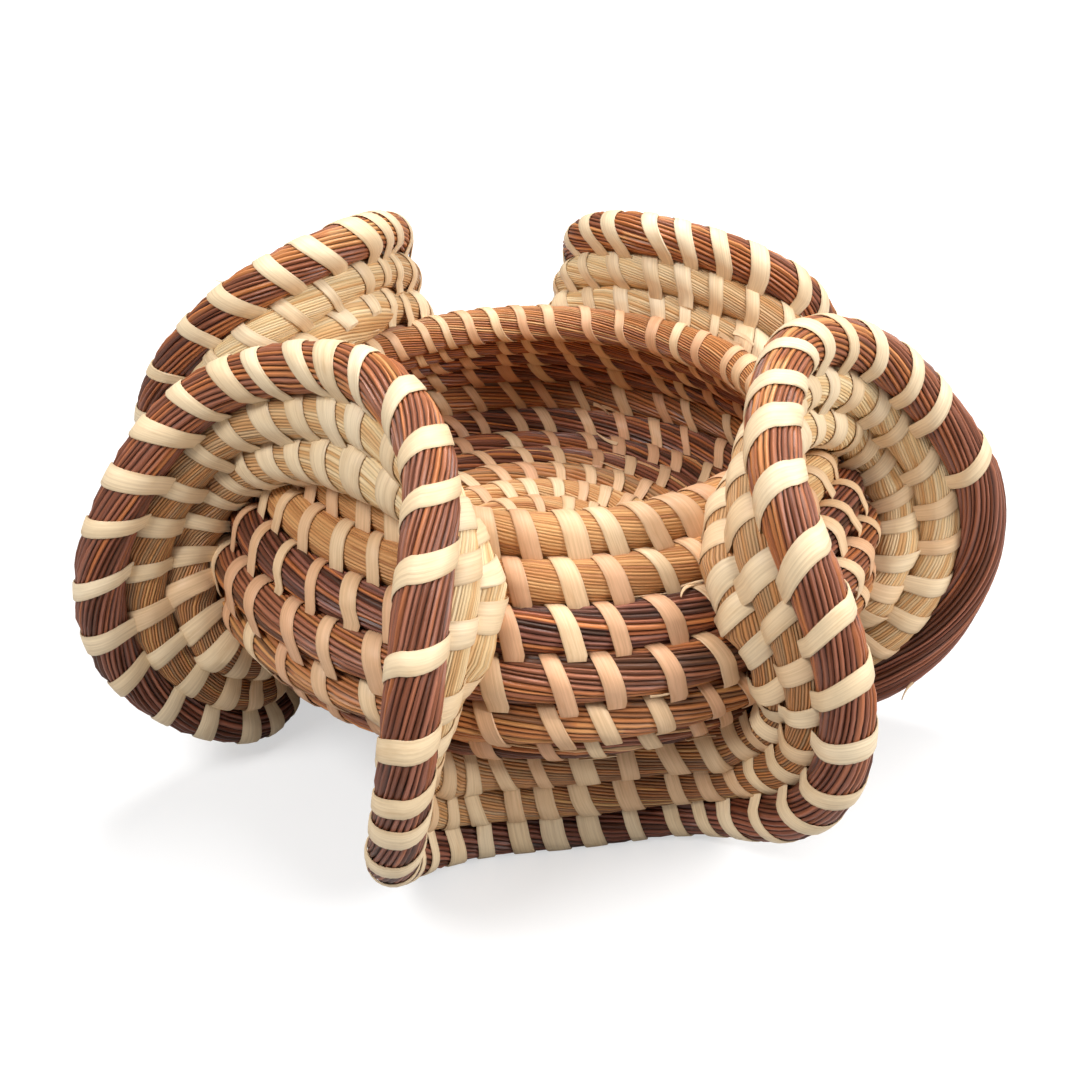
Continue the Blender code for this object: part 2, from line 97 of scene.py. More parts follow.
# Radii of the bundles, and how hard they are pressed against one another and the wall.
BUNDLE_RADIUS = 4.68 * MM
RUFFLE_RADIUS = 4.75 * MM
EDGE_RADIUS = 5.05 * MM
LEAST_RADIUS = 3.5 * MM
MOST_RADIUS = 5.3 * MM
FULLEST_RADIUS = 7.3 * MM
PRESS, WALL_PRESS = 0.4 * MM, 0.35 * MM
TAIL_RADIUS = 1.2 * MM
# How many samples at the start of the ruffle's later rows are still climbing out of a row.
GRASS_CLIMB, EDGE_CLIMB = 40, 60

# Strands by kind of bundle: width, groove between strands, how far odd ones stand out.
FINE_GRASS = (0.70 * MM, 0.16 * MM, 0.08 * MM)
COARSE_RUSH = (1.20 * MM, 0.55 * MM, 0.20 * MM)
# Where a strand's groove and its two shoulders lie across it, in shares of its width, and
# the order of a face's corners that turns the bundle's faces outward.
RIDGE = (0.0, 0.30, 0.70)
OUTWARD = [0, 3, 2, 1]
SECTION_STEP = 2.6 * MM
MOST_TRIANGLES = 185_000
# Lengths over which strands change place, stand out, change colour and turn with the bundle.
WANDER_RUN, STAND_RUN, STRAND_RUN = 38 * MM, 22 * MM, 90 * MM
TWIST_RUN, TWIST_SWAY_RUN = 170 * MM, 60 * MM
WANDER, TWIST_SWAY, STAND_MOST = 0.16, 0.05, 1.4
SUNK = 0.1 * MM
# Under a strip a bundle is thinner by the first share and its grooves close by the second.
PINCH_SHARE, SHUT_SHARE = 0.035, 0.8
PINCH_EASE, PINCH_REACH = 2.2 * MM, radians(135)

# Binding of each run, in mm: pitch, pitch at sharp bends, strip width where the run starts
# and where it ends, and slant.
BINDINGS = {
    "shoulder_coil": (8.9, 8.0, 4.4, 2.9, 3.4), "wall_coil": (10.4, 8.5, 3.1, 4.1, 3.8),
    "belly_coil": (10.4, 8.5, 3.3, 3.3, 3.8), "base_coil": (9.6, 8.0, 3.3, 3.3, 3.6),
    "floor_border_coil": (8.8, 7.0, 3.2, 3.2, 3.0), "floor_coil": (7.4, 5.0, 3.2, 2.8, 2.2),
    "ruffle_coil": (8.6, 5.8, 3.9, 4.1, 3.2), "ruffle_edge_coil": (10.8, 7.0, 4.3, 4.3, 2.8),
}
CREST_SLANT = 3.2 * MM
CREST_WIDENING, BACK_NARROWING, BACK_WIDTH_SHARE = 0.22, 0.14, 0.72
INNER_SLANT_SHARE = 1.55
STRIP_THICKNESS = 0.32 * MM
STRIP_LIFT = 0.05 * MM
# How much stitches differ, as shares of their pitch, width, slant and thickness.
PITCH_SPREAD, WIDTH_SPREAD, SLANT_SPREAD, THICKNESS_SPREAD = 0.035, 0.12, 0.16, 0.12
# Where a strip bites into the row below, in degrees off the line between the two rows.
BITE_ANGLE, BITE_SPREAD = 34, 5
STRIP_SWAY = 0.25 * MM
# A stitch goes beside one of the row before that is within this share of a pitch, and a
# little on from it. No stitch comes nearer to the end of the sewing than the last share.
BESIDE_SHARE = 0.34
ROW_DRIFT = 1.0 * MM
END_SHARE = 0.5
# Bend of a bundle, in 1/m, from which its stitches close up, and over which they do so.
GENTLE_BEND, BEND_RANGE, BEND_REACH = 20, 50, 8 * MM
LEAST_RATE = 4 * MM
# Three strips sewn side by side where one strip ends and the next begins.
SPLICE = np.radians([491.4, 493.0, 494.6])
SPLICE_REACH, SPLICE_WIDENING = radians(0.7), 1.45
# The stretch of the edge coil that is left without stitches.
BARE = (radians(73.4), radians(80.9))

# Tones of the strands. Shares of rush, at the front and how much more at the back for the
# shoulder and the rim, and in the ruffle's troughs, where the share is partly painted shade;
# shares of orange needles, on the wall's lower and upper row, and low on the edge and how much
# more at its crests; how the shoulder, the wall and the edge are toned, the edge with painted
# shade low in its troughs and painted light at its crests; and how much painted light the top
# of the rim gets and how far its dark inner face reaches.
SHOULDER_DARK, RIM_DARK, RUFFLE_DARK_AND_PAINTED_SHADE, RUFFLE_DARK_POWER = (0.04, 0.92), (0.02, 0.90), 0.78, 1.25
DARK_SHARE = {"wall_coil": 0.96, "belly_coil": 0.85, "base_coil": 0.96,
              "floor_border_coil": 0.6, "floor_coil": 0.05, "ruffle_edge_coil": 0.97}
WARM_SHARE = {"shoulder_coil": 0.25, "belly_coil": 0.85, "base_coil": 0.2,
              "floor_border_coil": 0.85, "floor_coil": 0.25, "ruffle_coil": 0.80}
WALL_WARMTH, EDGE_WARMTH = (0.45, 0.05), (0.10, 0.40)
SHOULDER_TONE, EDGE_CREST_PAINTED_LIGHT, WALL_TONE, EDGE_LOW_PAINTED_SHADE = 0.56, 0.40, 0.88, 0.62
# Paler straw: how far it lags the ruffle's crests and how it falls off, and where painted light
# lies inside the front right fold and how far it reaches.
PALE_LAG, PALE_POWER = radians(9), 1.3
PAINTED_LIGHT_AZIMUTH, PAINTED_LIGHT_REACH = radians(72), radians(30)
BACK_START, BACK_REACH = radians(70), radians(50)
RIM_TOP_PAINTED_LIGHT, RIM_INNER_REACH = 0.35, 1.2
# Tones of the strips: a darker tone on the bowl, painted shade low in the ruffle's troughs, and
# the spread over both.
BOWL_SHADE, RUFFLE_STRIP_PAINTED_SHADE = 0.50, 0.45
BOWL_SPREAD, RUFFLE_SPREAD = 0.6, 0.45

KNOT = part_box("start_knot")
AXIS = ((KNOT[0][0] + KNOT[1][0]) / 2, (KNOT[0][1] + KNOT[1][1]) / 2)


def linear(red, green, blue):
    """A colour as seen on screen, in the linear values that a shader takes."""
    return tuple(c / 12.92 if c <= 0.04045 else ((c + 0.055) / 1.055) ** 2.4
                 for c in (red, green, blue)) + (1.0,)


def smooth_step(share):
    share = np.clip(share, 0, 1)
    return share * share * (3 - 2 * share)


def reach_of(vectors):
    return np.linalg.norm(vectors, axis=-1)


def unit(vectors):
    return vectors / reach_of(vectors)[:, None]


def from_zero(angle):
    """How far an angle is from nothing, either way round."""
    return np.abs((angle + pi) % TURN - pi)


def columns_at(place, known, values):
    """Each column of the values known at some places, read off at other places."""
    return np.stack([np.interp(place, known, column) for column in values.T], -1)


def tube_faces(sections, columns):
    """Faces of a closed tube, and each face corner's section and place round it."""
    a, b = np.meshgrid(np.arange(sections - 1), np.arange(columns), indexing="ij")
    section = a.ravel()[:, None] + [[0, 1, 1, 0]]
    corner = b.ravel()[:, None] + [[0, 0, 1, 1]]
    return section * columns + corner % columns, section, corner


def on_circle(radius, azimuth, height):
    return np.stack([radius * np.sin(azimuth), -radius * np.cos(azimuth), height], 1)


def wall_sizes():
    centre_radius = BELLY_RADIUS - BELLY_BEND
    shoulder_end = centre_radius + BELLY_BEND * sin(SHOULDER_FALL)
    shoulder = (shoulder_end - MOUTH_RADIUS) / cos(SHOULDER_FALL)
    bend = (pi - SHOULDER_FALL) * BELLY_BEND
    centre_height = -shoulder * sin(SHOULDER_FALL) - BELLY_BEND * cos(SHOULDER_FALL)
    return shoulder, bend, centre_radius, centre_height


def wall_at(depth):
    """Radius, height over the rim and fall of the wall, a length down from the rim."""
    shoulder, bend, centre_radius, centre_height = wall_sizes()
    depth = np.asarray(depth, float)
    fall = np.clip(SHOULDER_FALL + (depth - shoulder) / BELLY_BEND, SHOULDER_FALL, pi)
    on_shoulder = np.minimum(depth - shoulder, 0)
    on_base = np.maximum(depth - shoulder - bend, 0)
    radius = (centre_radius + BELLY_BEND * np.sin(fall)
              + on_shoulder * cos(SHOULDER_FALL) - on_base)
    height = centre_height + BELLY_BEND * np.cos(fall) - on_shoulder * sin(SHOULDER_FALL)
    return radius, height, fall


def bowl_layout():
    shoulder, bend, centre_radius, _ = wall_sizes()
    innermost = KNOT_DIAMETER / 2 + JOIN_GAP + COIL_DIAMETER / 2
    length = shoulder + bend + centre_radius - innermost
    steps = max(round(length / ROW_PITCH), 1)
    return steps + 1, length / steps


BOWL_ROWS, BOWL_PITCH = bowl_layout()


def climbed(wound, lap, sweep):
    """How far a bundle has climbed to its next row near the end of a turn."""
    return smooth_step(((wound - lap * TURN) / sweep + 1) / 2)


def bowl_rows(wound):
    """Row and half the room for the bundle at each angle wound in from the rim."""
    lap = np.round(wound / TURN)
    between = wall_at((np.maximum(lap, 1) - 0.5) * BOWL_PITCH)[0]
    climb = climbed(wound, lap, np.minimum(ROW_CLIMB / 2 / between, pi))
    row = np.where(lap < 1, (climb - 1) / 2, lap - 1 + climb)
    row = np.where(lap >= BOWL_ROWS, lap - 1 + climb / 2, row)
    room = np.where(lap < 1, climb * BOWL_PITCH / 2, BUNDLE_RADIUS)
    room = np.where(lap >= BOWL_ROWS, (1 - climb) * BOWL_PITCH / 2, room)
    return row, np.clip(room, TAIL_RADIUS, BUNDLE_RADIUS)


def squared(vectors, ahead):
    """Vectors without their part along a path."""
    return vectors - ahead * (vectors * ahead).sum(1)[:, None]


def run_of(path, across, bite, pitch, **others):
    """A run of bundle: its centreline, the directions to the next row and to its face, and
    how far off and how thick the row is that its stitches bite into."""
    ahead = unit(np.gradient(path, axis=0))
    up = unit(squared(across, ahead))
    return dict(path=path, up=up, face=np.cross(ahead, up), bite=unit(squared(bite, ahead)),
                below=np.full(len(path), pitch), under=np.full(len(path), BUNDLE_RADIUS),
                **others)


def bowl_run(name, slot, start, end, axis):
    wound = np.linspace(start, end, max(int((end - start) / TURN * BOWL_STEPS), LEAST_STEPS))
    row, radius = bowl_rows(wound)
    reach, height, fall = wall_at(row * BOWL_PITCH)
    azimuth = CLIMB_AZIMUTH + wound
    up = on_circle(-np.cos(fall), azimuth, np.sin(fall))
    return run_of(on_circle(reach, azimuth, height) + axis, up, up, BOWL_PITCH, name=name,
                  slot=slot, radius=radius, azimuth=azimuth, row=row)


def tail_tip(wound, room):
    """The first of the angles at which a tapering bundle is thicker than its least."""
    return wound[np.argmax(room(wound) > TAIL_RADIUS)]


def bowl_runs(axis):
    near = np.linspace(-pi / 2, pi / 2, TAIL_SAMPLES)
    start = tail_tip(near, lambda wound: bowl_rows(wound)[1])
    last = tail_tip((near + BOWL_ROWS * TURN)[::-1], lambda wound: bowl_rows(wound)[1])
    runs, done = [], 0
    for name, rows, slot in BOWL_BUNDLES:
        done += rows
        end = last if done == BOWL_ROWS else done * TURN
        runs.append(bowl_run(name, slot, start, end, axis))
        start = end
    return runs


def ruffle_wave(azimuth):
    """Seam depth, seam azimuth, tilt and lean of the ruffle at an azimuth of its wave."""
    fold = FOLDS * (azimuth - FIRST_CREST)
    shoulder, bend, _, _ = wall_sizes()
    lowest = shoulder + bend + SEAM_TUCK
    depth = ((lowest - SEAM_RISE) / 2 - (lowest + SEAM_RISE) / 2 * np.cos(fold)
             - SEAM_SQUARE * np.cos(2 * fold)
             + SEAM_RIPPLE * np.cos(3 * fold) + SEAM_UNEVEN_SIDE * np.sin(azimuth)
             - SEAM_UNEVEN_FRONT * np.cos(azimuth) - SEAM_UNEVEN_TWO * np.sin(2 * azimuth))
    seam = (azimuth + SWING * np.sin(2 * fold) + SWING_SKEW * np.cos(fold)
            - SWING_RIPPLE * np.sin(4 * fold) + SWING_UNEVEN_SIDE * np.sin(azimuth)
            - SWING_UNEVEN_FRONT * np.cos(azimuth) + SWING_UNEVEN_THREE * np.cos(3 * azimuth))
    tilt = (TILT_MEAN + TILT_WAVE * np.cos(fold) - TILT_SKEW * np.sin(fold)
            + TILT_SQUARE * np.cos(2 * fold) - TILT_RIPPLE * np.cos(3 * fold)
            - TILT_UNEVEN_SIDE * np.sin(azimuth) - TILT_UNEVEN_FRONT * np.cos(azimuth))
    lean = (-LEAN_MEAN - LEAN_SKEW * np.sin(fold) + LEAN_WAVE * np.cos(fold)
            - LEAN_SIDE * np.sin(2 * fold) + LEAN_SQUARE * np.cos(2 * fold)
            + LEAN_RIPPLE * np.sin(4 * fold) + LEAN_EVEN * np.cos(4 * fold))
    return depth, seam, tilt, lean


def ruffle_frame(azimuth):
    """Seat of the ruffle on the wall, the wall's outward direction and the rows' own."""
    depth, seam, tilt, lean = ruffle_wave(azimuth)
    radius, height, fall = wall_at(depth)
    seat = on_circle(radius + ROW_PITCH * np.sin(fall), seam, height + ROW_PITCH * np.cos(fall))
    outward = on_circle(np.ones_like(seam), seam, np.zeros_like(seam))
    sideways = np.stack([np.cos(seam), np.sin(seam), np.zeros_like(seam)], 1)
    rise = np.array([[0.0, 0.0, 1.0]])
    across = (outward * (np.cos(tilt) * np.cos(lean))[:, None]
              + sideways * (np.cos(tilt) * np.sin(lean))[:, None]
              + rise * np.sin(tilt)[:, None])
    normal = outward * np.sin(fall)[:, None] + rise * np.cos(fall)[:, None]
    return seat, normal, across


def lengths_along(path):
    return np.r_[0, np.cumsum(reach_of(np.diff(path, axis=0)))]


def rounded(path, values):
    """The path and values beside it, smoothed over the length that a stiff bundle bends in."""
    along = lengths_along(path)
    even = np.linspace(0, along[-1], len(path))
    step = even[1]
    reach = int(ceil(3 * BUNDLE_STIFFNESS / step))
    weight = np.exp(-0.5 * (np.arange(-reach, reach + 1) * step / BUNDLE_STIFFNESS) ** 2)
    weight /= weight.sum()

    def soften(column):
        padded = np.pad(np.interp(even, along, column), (reach, reach), mode="edge")
        return np.interp(along, even, np.convolve(padded, weight, "valid"))

    return [np.stack([soften(block[:, k]) for k in range(3)], 1) for block in [path] + values]


def ruffle_fine(start, end, row_of):
    extra = TURN / FOLDS / 2
    wound = np.linspace(start - extra, end + extra,
                        int((end - start + 2 * extra) / TURN * FINE_STEPS))
    seat, normal, across = ruffle_frame(RUFFLE_START + wound)
    path = seat + across * (row_of(wound) * RUFFLE_PITCH)[:, None]
    path, normal, across = rounded(path, [normal, across])
    keep = (wound >= start) & (wound <= end)
    return wound[keep], path[keep], unit(normal[keep]), unit(across[keep])


def trough_share(azimuth):
    return ((1 - np.cos(FOLDS * (azimuth - FIRST_CREST))) / 2) ** 2


def trough_of(azimuth):
    return np.floor((azimuth - FIRST_CREST) / (TURN / FOLDS)).astype(int) % FOLDS


def levelling():
    """The floor's height, and how far each trough moves so that all of them stand on it."""
    wound, path, _, _ = ruffle_fine(0, TURN, lambda angle: np.full_like(angle, 2.0))
    azimuth = RUFFLE_START + wound
    trough = trough_of(azimuth)
    level = np.mean([path[trough == fold, 2].min() for fold in range(FOLDS)])
    moves = np.zeros(FOLDS)
    for fold in range(FOLDS):
        here = trough == fold
        for _ in range(LEVEL_ROUNDS):
            moved = path[here, 2] + moves[fold] * trough_share(azimuth[here])
            moves[fold] += level - moved.min()
    return level - STAND_HEIGHT, moves


def ruffle_row(wound):
    lap = np.round(wound / TURN)
    climb = climbed(wound, lap, RUFFLE_CLIMB)
    row = np.where(lap < 1, (climb - 1) / 2, lap - 1 + climb)
    return np.where(lap > 2, 2 + climb / 2, row)


def ruffle_room(wound, full):
    """Half the room for the bundle at each angle, up to its full radius."""
    lap = np.round(wound / TURN)
    climb = climbed(wound, lap, RUFFLE_CLIMB)
    room = np.where(lap < 1, climb * RUFFLE_PITCH / 2, full)
    room = np.where(lap > 2, (1 - climb) * RUFFLE_PITCH / 2, room)
    return np.clip(room, TAIL_RADIUS, full)


def ruffle_run(name, slot, start, end, full, moves, axis):
    wound, path, normal, across = ruffle_fine(start, end, ruffle_row)
    azimuth = RUFFLE_START + wound
    row = ruffle_row(wound)
    path = path.copy()
    path[:, 2] += moves[trough_of(azimuth)] * trough_share(azimuth) * row / 2
    share = np.clip(row, 0, 1)[:, None]
    bite = unit(normal * (1 - share) + across * share)
    return run_of(path + axis, across, bite, RUFFLE_PITCH, name=name, slot=slot,
                  radius=ruffle_room(wound, full), azimuth=azimuth, row=row)


def ruffle_runs(moves, axis):
    near = np.linspace(-RUFFLE_CLIMB, RUFFLE_CLIMB, TAIL_SAMPLES)
    first = tail_tip(near, lambda wound: ruffle_room(wound, RUFFLE_RADIUS))
    last = tail_tip(near[::-1] + 3 * TURN, lambda wound: ruffle_room(wound, EDGE_RADIUS))
    return [ruffle_run(*run, moves, axis) for run in (
        ("ruffle_coil", "sweetgrass", first, 2 * TURN, RUFFLE_RADIUS),
        ("ruffle_edge_coil", "bulrush_dark", 2 * TURN, last, EDGE_RADIUS))]


def nearest(places, path):
    """Vector to each place from the nearest point of a path, and that point's number."""
    start, run = path[:-1], np.diff(path, axis=0)
    away, number = np.empty_like(places), np.empty(len(places), int)
    for first in range(0, len(places), NEAREST_BLOCK):
        block = slice(first, first + NEAREST_BLOCK)
        offset = places[block, None] - start[None]
        share = np.clip((offset * run).sum(2) / (run * run).sum(1), 0, 1)
        offset = offset - run * share[..., None]
        best = reach_of(offset).argmin(1)
        away[block] = offset[np.arange(len(best)), best]
        number[block] = best
    return away, number


def apart(places, path):
    return reach_of(nearest(places, path)[0])


def fit_bowl(runs):
    """Fills out the bowl's bundles where the rows of its spiral part."""
    path = np.concatenate([run["path"] for run in runs])
    wound = np.concatenate([run["azimuth"] for run in runs])
    for run in runs:
        room = np.zeros(len(run["path"]))
        for turn in (-TURN, TURN):
            place = run["azimuth"] + turn
            beside = (place > wound[0]) & (place < wound[-1])
            away = reach_of(columns_at(place, wound, path) - run["path"])
            room = np.maximum(room, away * beside)
        fitted = np.clip((room + PRESS) / 2, BUNDLE_RADIUS, MOST_RADIUS)
        run["radius"] = np.where(run["radius"] < BUNDLE_RADIUS, run["radius"], fitted)


def fit_radii(runs, wall):
    """Presses the ruffle's bundles against one another and against the bowl's wall."""
    grass, edge = runs
    half = len(grass["path"]) // 2
    lower, upper = grass["path"][:half], grass["path"][half:]
    below, above = apart(upper, lower[:-GRASS_CLIMB]), apart(upper, edge["path"][EDGE_CLIMB:])
    from_wall = 2 * (apart(lower, wall) - BUNDLE_RADIUS + WALL_PRESS)
    beside = np.maximum(apart(lower, upper[GRASS_CLIMB:]), from_wall)
    room = (np.r_[beside, (below + above) / 2] + PRESS) / 2
    near_climb = np.abs(np.arange(len(grass["path"])) - half) < GRASS_CLIMB
    tapered = grass["radius"] < RUFFLE_RADIUS - PRESS
    fitted = np.clip(room, LEAST_RADIUS, FULLEST_RADIUS)
    grass["radius"] = np.where(near_climb | tapered, grass["radius"], fitted)
    room = apart(edge["path"], upper) - RUFFLE_RADIUS + PRESS
    fitted = np.clip(room, EDGE_RADIUS, MOST_RADIUS)
    edge["radius"] = np.where(edge["radius"] < EDGE_RADIUS - PRESS, edge["radius"], fitted)


def seat_rows(runs):
    """Finds the row below each place of the ruffle's later rows, for its stitches to bite."""
    grass, edge = runs
    half = len(grass["path"]) // 2
    for run, start, rows in ((grass, half + GRASS_CLIMB, slice(half)),
                             (edge, EDGE_CLIMB, slice(half, None))):
        away, number = nearest(run["path"][start:], grass["path"][rows])
        away = squared(away, unit(np.gradient(run["path"], axis=0))[start:])
        run["below"][start:] = reach_of(away)
        run["bite"][start:] = unit(away)
        run["under"][start:] = grass["radius"][rows][number]


class Rail:
    """A run sampled by length, so that pieces can be laid along it."""

    def __init__(self, run):
        self.run = run
        self.along = lengths_along(run["path"])
        self.length = self.along[-1]

    def at(self, key, place):
        values = self.run[key]
        read = np.interp if values.ndim == 1 else columns_at
        return read(place, self.along, values)

    def bend(self, place):
        """How sharply the run turns near a place, in 1/m."""
        a, b = self.at("path", place - BEND_REACH), self.at("path", place)
        c = self.at("path", place + BEND_REACH)
        u = (b - a) / (reach_of(b - a)[..., None] + 1e-12)
        v = (c - b) / (reach_of(c - b)[..., None] + 1e-12)
        cosine = np.clip((u * v).sum(-1), -1, 1)
        return np.arccos(cosine) / BEND_REACH


def next_stitch(here, ahead, rate, pitch, sewn):
    """Where the next stitch goes: beside one of the row before, if that is near enough."""
    want = here + ahead * pitch / rate
    beside = np.array(sewn) + ahead * TURN + ROW_DRIFT / rate
    off = np.abs(beside - want) * rate
    if len(off) and off.min() < BESIDE_SHARE * pitch:
        want = beside[off.argmin()]
    return want + RNG.normal(0, PITCH_SPREAD) * pitch / rate


def sew(runs, ahead):
    """Stitches of a chain of runs, in the order of sewing, kept as lengths on each run."""
    rails = [Rail(run) for run in runs]
    for rail in rails:
        rail.rate = np.gradient(rail.along, rail.run["azimuth"])
    near, far = (0, -1) if ahead > 0 else (-1, 0)
    here, end = runs[0]["azimuth"][near], runs[-1]["azimuth"][far]
    sewn, owner, at = [], [], 0
    while True:
        azimuths = rails[at].run["azimuth"]
        rate = max(float(np.interp(here, azimuths, rails[at].rate)), LEAST_RATE)
        place = float(np.interp(here, azimuths, rails[at].along))
        pitch, tight = np.array(BINDINGS[rails[at].run["name"]][:2]) * MM
        bend = float(rails[at].bend(np.array([place]))[0])
        ease = min(max((bend - GENTLE_BEND) / BEND_RANGE, 0), 1)
        pitch = pitch * (1 - ease) + tight * ease
        here = next_stitch(here, ahead, rate, pitch, sewn)
        while at < len(rails) and not (rails[at].run["azimuth"][0] <= here
                                       <= rails[at].run["azimuth"][-1]):
            at += 1
        if at == len(rails) or (end - here) * ahead * rate < END_SHARE * pitch:
            break
        sewn.append(here)
        owner.append(at)
    for number, rail in enumerate(rails):
        azimuths = np.sort([angle for angle, of in zip(sewn, owner) if of == number])
        if rail.run["name"] == "ruffle_edge_coil":
            azimuths = azimuths[(azimuths % TURN < BARE[0]) | (azimuths % TURN > BARE[1])]
        if rail.run["name"] == "ruffle_coil":
            azimuths = np.sort(np.r_[azimuths[(azimuths < SPLICE[0]) | (azimuths > SPLICE[-1])],
                                     SPLICE])
        rail.run["stitches"] = np.interp(azimuths, rail.run["azimuth"], rail.along)


def sewing(run):
    """Sizes of each stitch of a run, its bite at both ends and its tone, with painted shade on
    the strips low in the ruffle.
    """
    *widths, slant = np.array(BINDINGS[run["name"]][2:]) * MM
    places = run["stitches"]
    count = len(places)
    rail = Rail(run)
    width = np.interp(places, [0, rail.length], widths)
    azimuth = rail.at("azimuth", places)
    if run["name"] == "shoulder_coil":
        width = width * (1 - (1 - BACK_WIDTH_SHARE) * backness(azimuth))
    if run["name"] == "ruffle_coil":
        crest, back = crest_share(azimuth) ** 3, backness(azimuth)
        width = width * (1 + CREST_WIDENING * crest * (1 - back) - BACK_NARROWING * back)
        spliced = np.abs(azimuth[:, None] - SPLICE).min(1) < SPLICE_REACH
        width = np.where(spliced, SPLICE_WIDENING * width, width)
    if run["name"] == "ruffle_edge_coil":
        slant = slant + CREST_SLANT * crest_share(azimuth)
    tone_base_and_painted_shade, spread, inner = BOWL_SHADE, BOWL_SPREAD, INNER_SLANT_SHARE
    # Strips low in the ruffle's troughs are darkened: painted shade.
    if run["name"].startswith("ruffle"):
        low = run["name"] == "ruffle_coil"
        tone_base_and_painted_shade, spread, inner = low * RUFFLE_STRIP_PAINTED_SHADE * (1 - crest_share(azimuth)), RUFFLE_SPREAD, 1.0
    return dict(place=places, inner=inner,
                half=width * (1 + RNG.normal(0, WIDTH_SPREAD, count)) / 2,
                slant=slant * (1 + RNG.normal(0, SLANT_SPREAD, count)),
                thick=STRIP_THICKNESS * (1 + RNG.normal(0, THICKNESS_SPREAD, count)),
                bite=np.radians(BITE_ANGLE + RNG.normal(0, BITE_SPREAD, (count, 2))),
                tone=RNG.random(count) * spread + tone_base_and_painted_shade)


def slow_noise(count, length, step, scale):
    """Smooth random values along a run, one row for each strand."""
    knots = max(int(length / scale) + 3, 4)
    values = RNG.normal(0, 1, (count, knots))
    at = np.linspace(0, knots - 1, step)
    return np.stack([np.interp(at, np.arange(knots), row) for row in values])


def make_mesh(name, points, faces, uv_sets, attributes, material):
    """A smooth mesh that stays above the floor, with a value of each attribute per point."""
    points = points.reshape(-1, 3)
    points[:, 2] = np.maximum(points[:, 2], 0.0)
    mesh = bpy.data.meshes.new(name)
    mesh.from_pydata(points.tolist(), [], faces.tolist())
    for layer, values in uv_sets.items():
        made = mesh.uv_layers.new(name=layer)
        made.data.foreach_set("uv", np.asarray(values, np.float32).ravel())
    for layer, values in attributes.items():
        made = mesh.attributes.new(layer, "FLOAT", "POINT")
        made.data.foreach_set("value", np.asarray(values, np.float32).ravel())
    mesh.materials.append(material)
    mesh.polygons.foreach_set("use_smooth", np.ones(len(mesh.polygons), bool))
    return link(name, mesh)


def crest_share(azimuth):
    return (1 + np.cos(FOLDS * (azimuth - FIRST_CREST))) / 2


def backness(azimuth):
    """Nothing over the front of the basket and one over its back."""
    return smooth_step((from_zero(azimuth) - BACK_START) / BACK_REACH)


def darkness(run, azimuth, row):
    """How much of the bundle is dark rush, by row and by side of the basket; in the ruffle's
    troughs the share is partly painted shade.
    """
    if run["name"] == "shoulder_coil":
        shoulder, rim = (front + more * backness(azimuth)
                         for front, more in (SHOULDER_DARK, RIM_DARK))
        return np.where(row > 0.5, shoulder, rim)
    if run["name"] == "ruffle_coil":
        # Partly painted shade: the ruffle takes more dark strands the deeper it lies in a
        # trough.
        return RUFFLE_DARK_AND_PAINTED_SHADE * (1 - crest_share(azimuth - PALE_LAG)) ** RUFFLE_DARK_POWER
    return np.full_like(azimuth, DARK_SHARE[run["name"]])


def rim_painted_light(run, row, angles):
    """Painted light on the rim's row: its top and outer face are lightened and only its inner
    face stays dark; shares for every strand and place.
    """
    if run["name"] != "shoulder_coil":
        return np.ones_like(angles)
    inward = smooth_step(RIM_INNER_REACH * (1 - np.sin(angles)) - 1)
    return 1 - RIM_TOP_PAINTED_LIGHT * np.clip(1 - row, 0, 1)[:, None] * (1 - inward)


def warmth(run, azimuth, row):
    """How orange the bundle's dark strands are."""
    if run["name"] == "wall_coil":
        return np.where(row > 2.5, *WALL_WARMTH)
    if run["name"] == "ruffle_edge_coil":
        return EDGE_WARMTH[0] + EDGE_WARMTH[1] * crest_share(azimuth) ** 2
    return np.full_like(azimuth, WARM_SHARE[run["name"]])


def pale_and_painted_light(run, azimuth):
    """How pale the straw is: at the ruffle's crests partly its own colour and partly painted
    light, and inside its front right fold painted light.
    """
    if run["name"] == "ruffle_coil":
        return crest_share(azimuth - PALE_LAG) ** PALE_POWER
    if run["name"] == "shoulder_coil":
        return 1 - smooth_step(from_zero(azimuth - PAINTED_LIGHT_AZIMUTH) / PAINTED_LIGHT_REACH)
    return np.zeros_like(azimuth)


def pinched(angle, place, seams):
    """Where a strip crosses a strand at an angle round the bundle: one there, else nothing."""
    if not len(seams["place"]):
        return np.zeros_like(place)
    turned = (angle / TURN + 0.5) % 1 * TURN - pi
    shift = wrap_shift(turned, seams["inner"])
    away = np.abs(place[:, None] - seams["place"] - shift[:, None] * seams["slant"])
    away = (away - seams["half"]).min(1)
    return (1 - smooth_step(away / PINCH_EASE)) * (np.abs(turned) < PINCH_REACH)


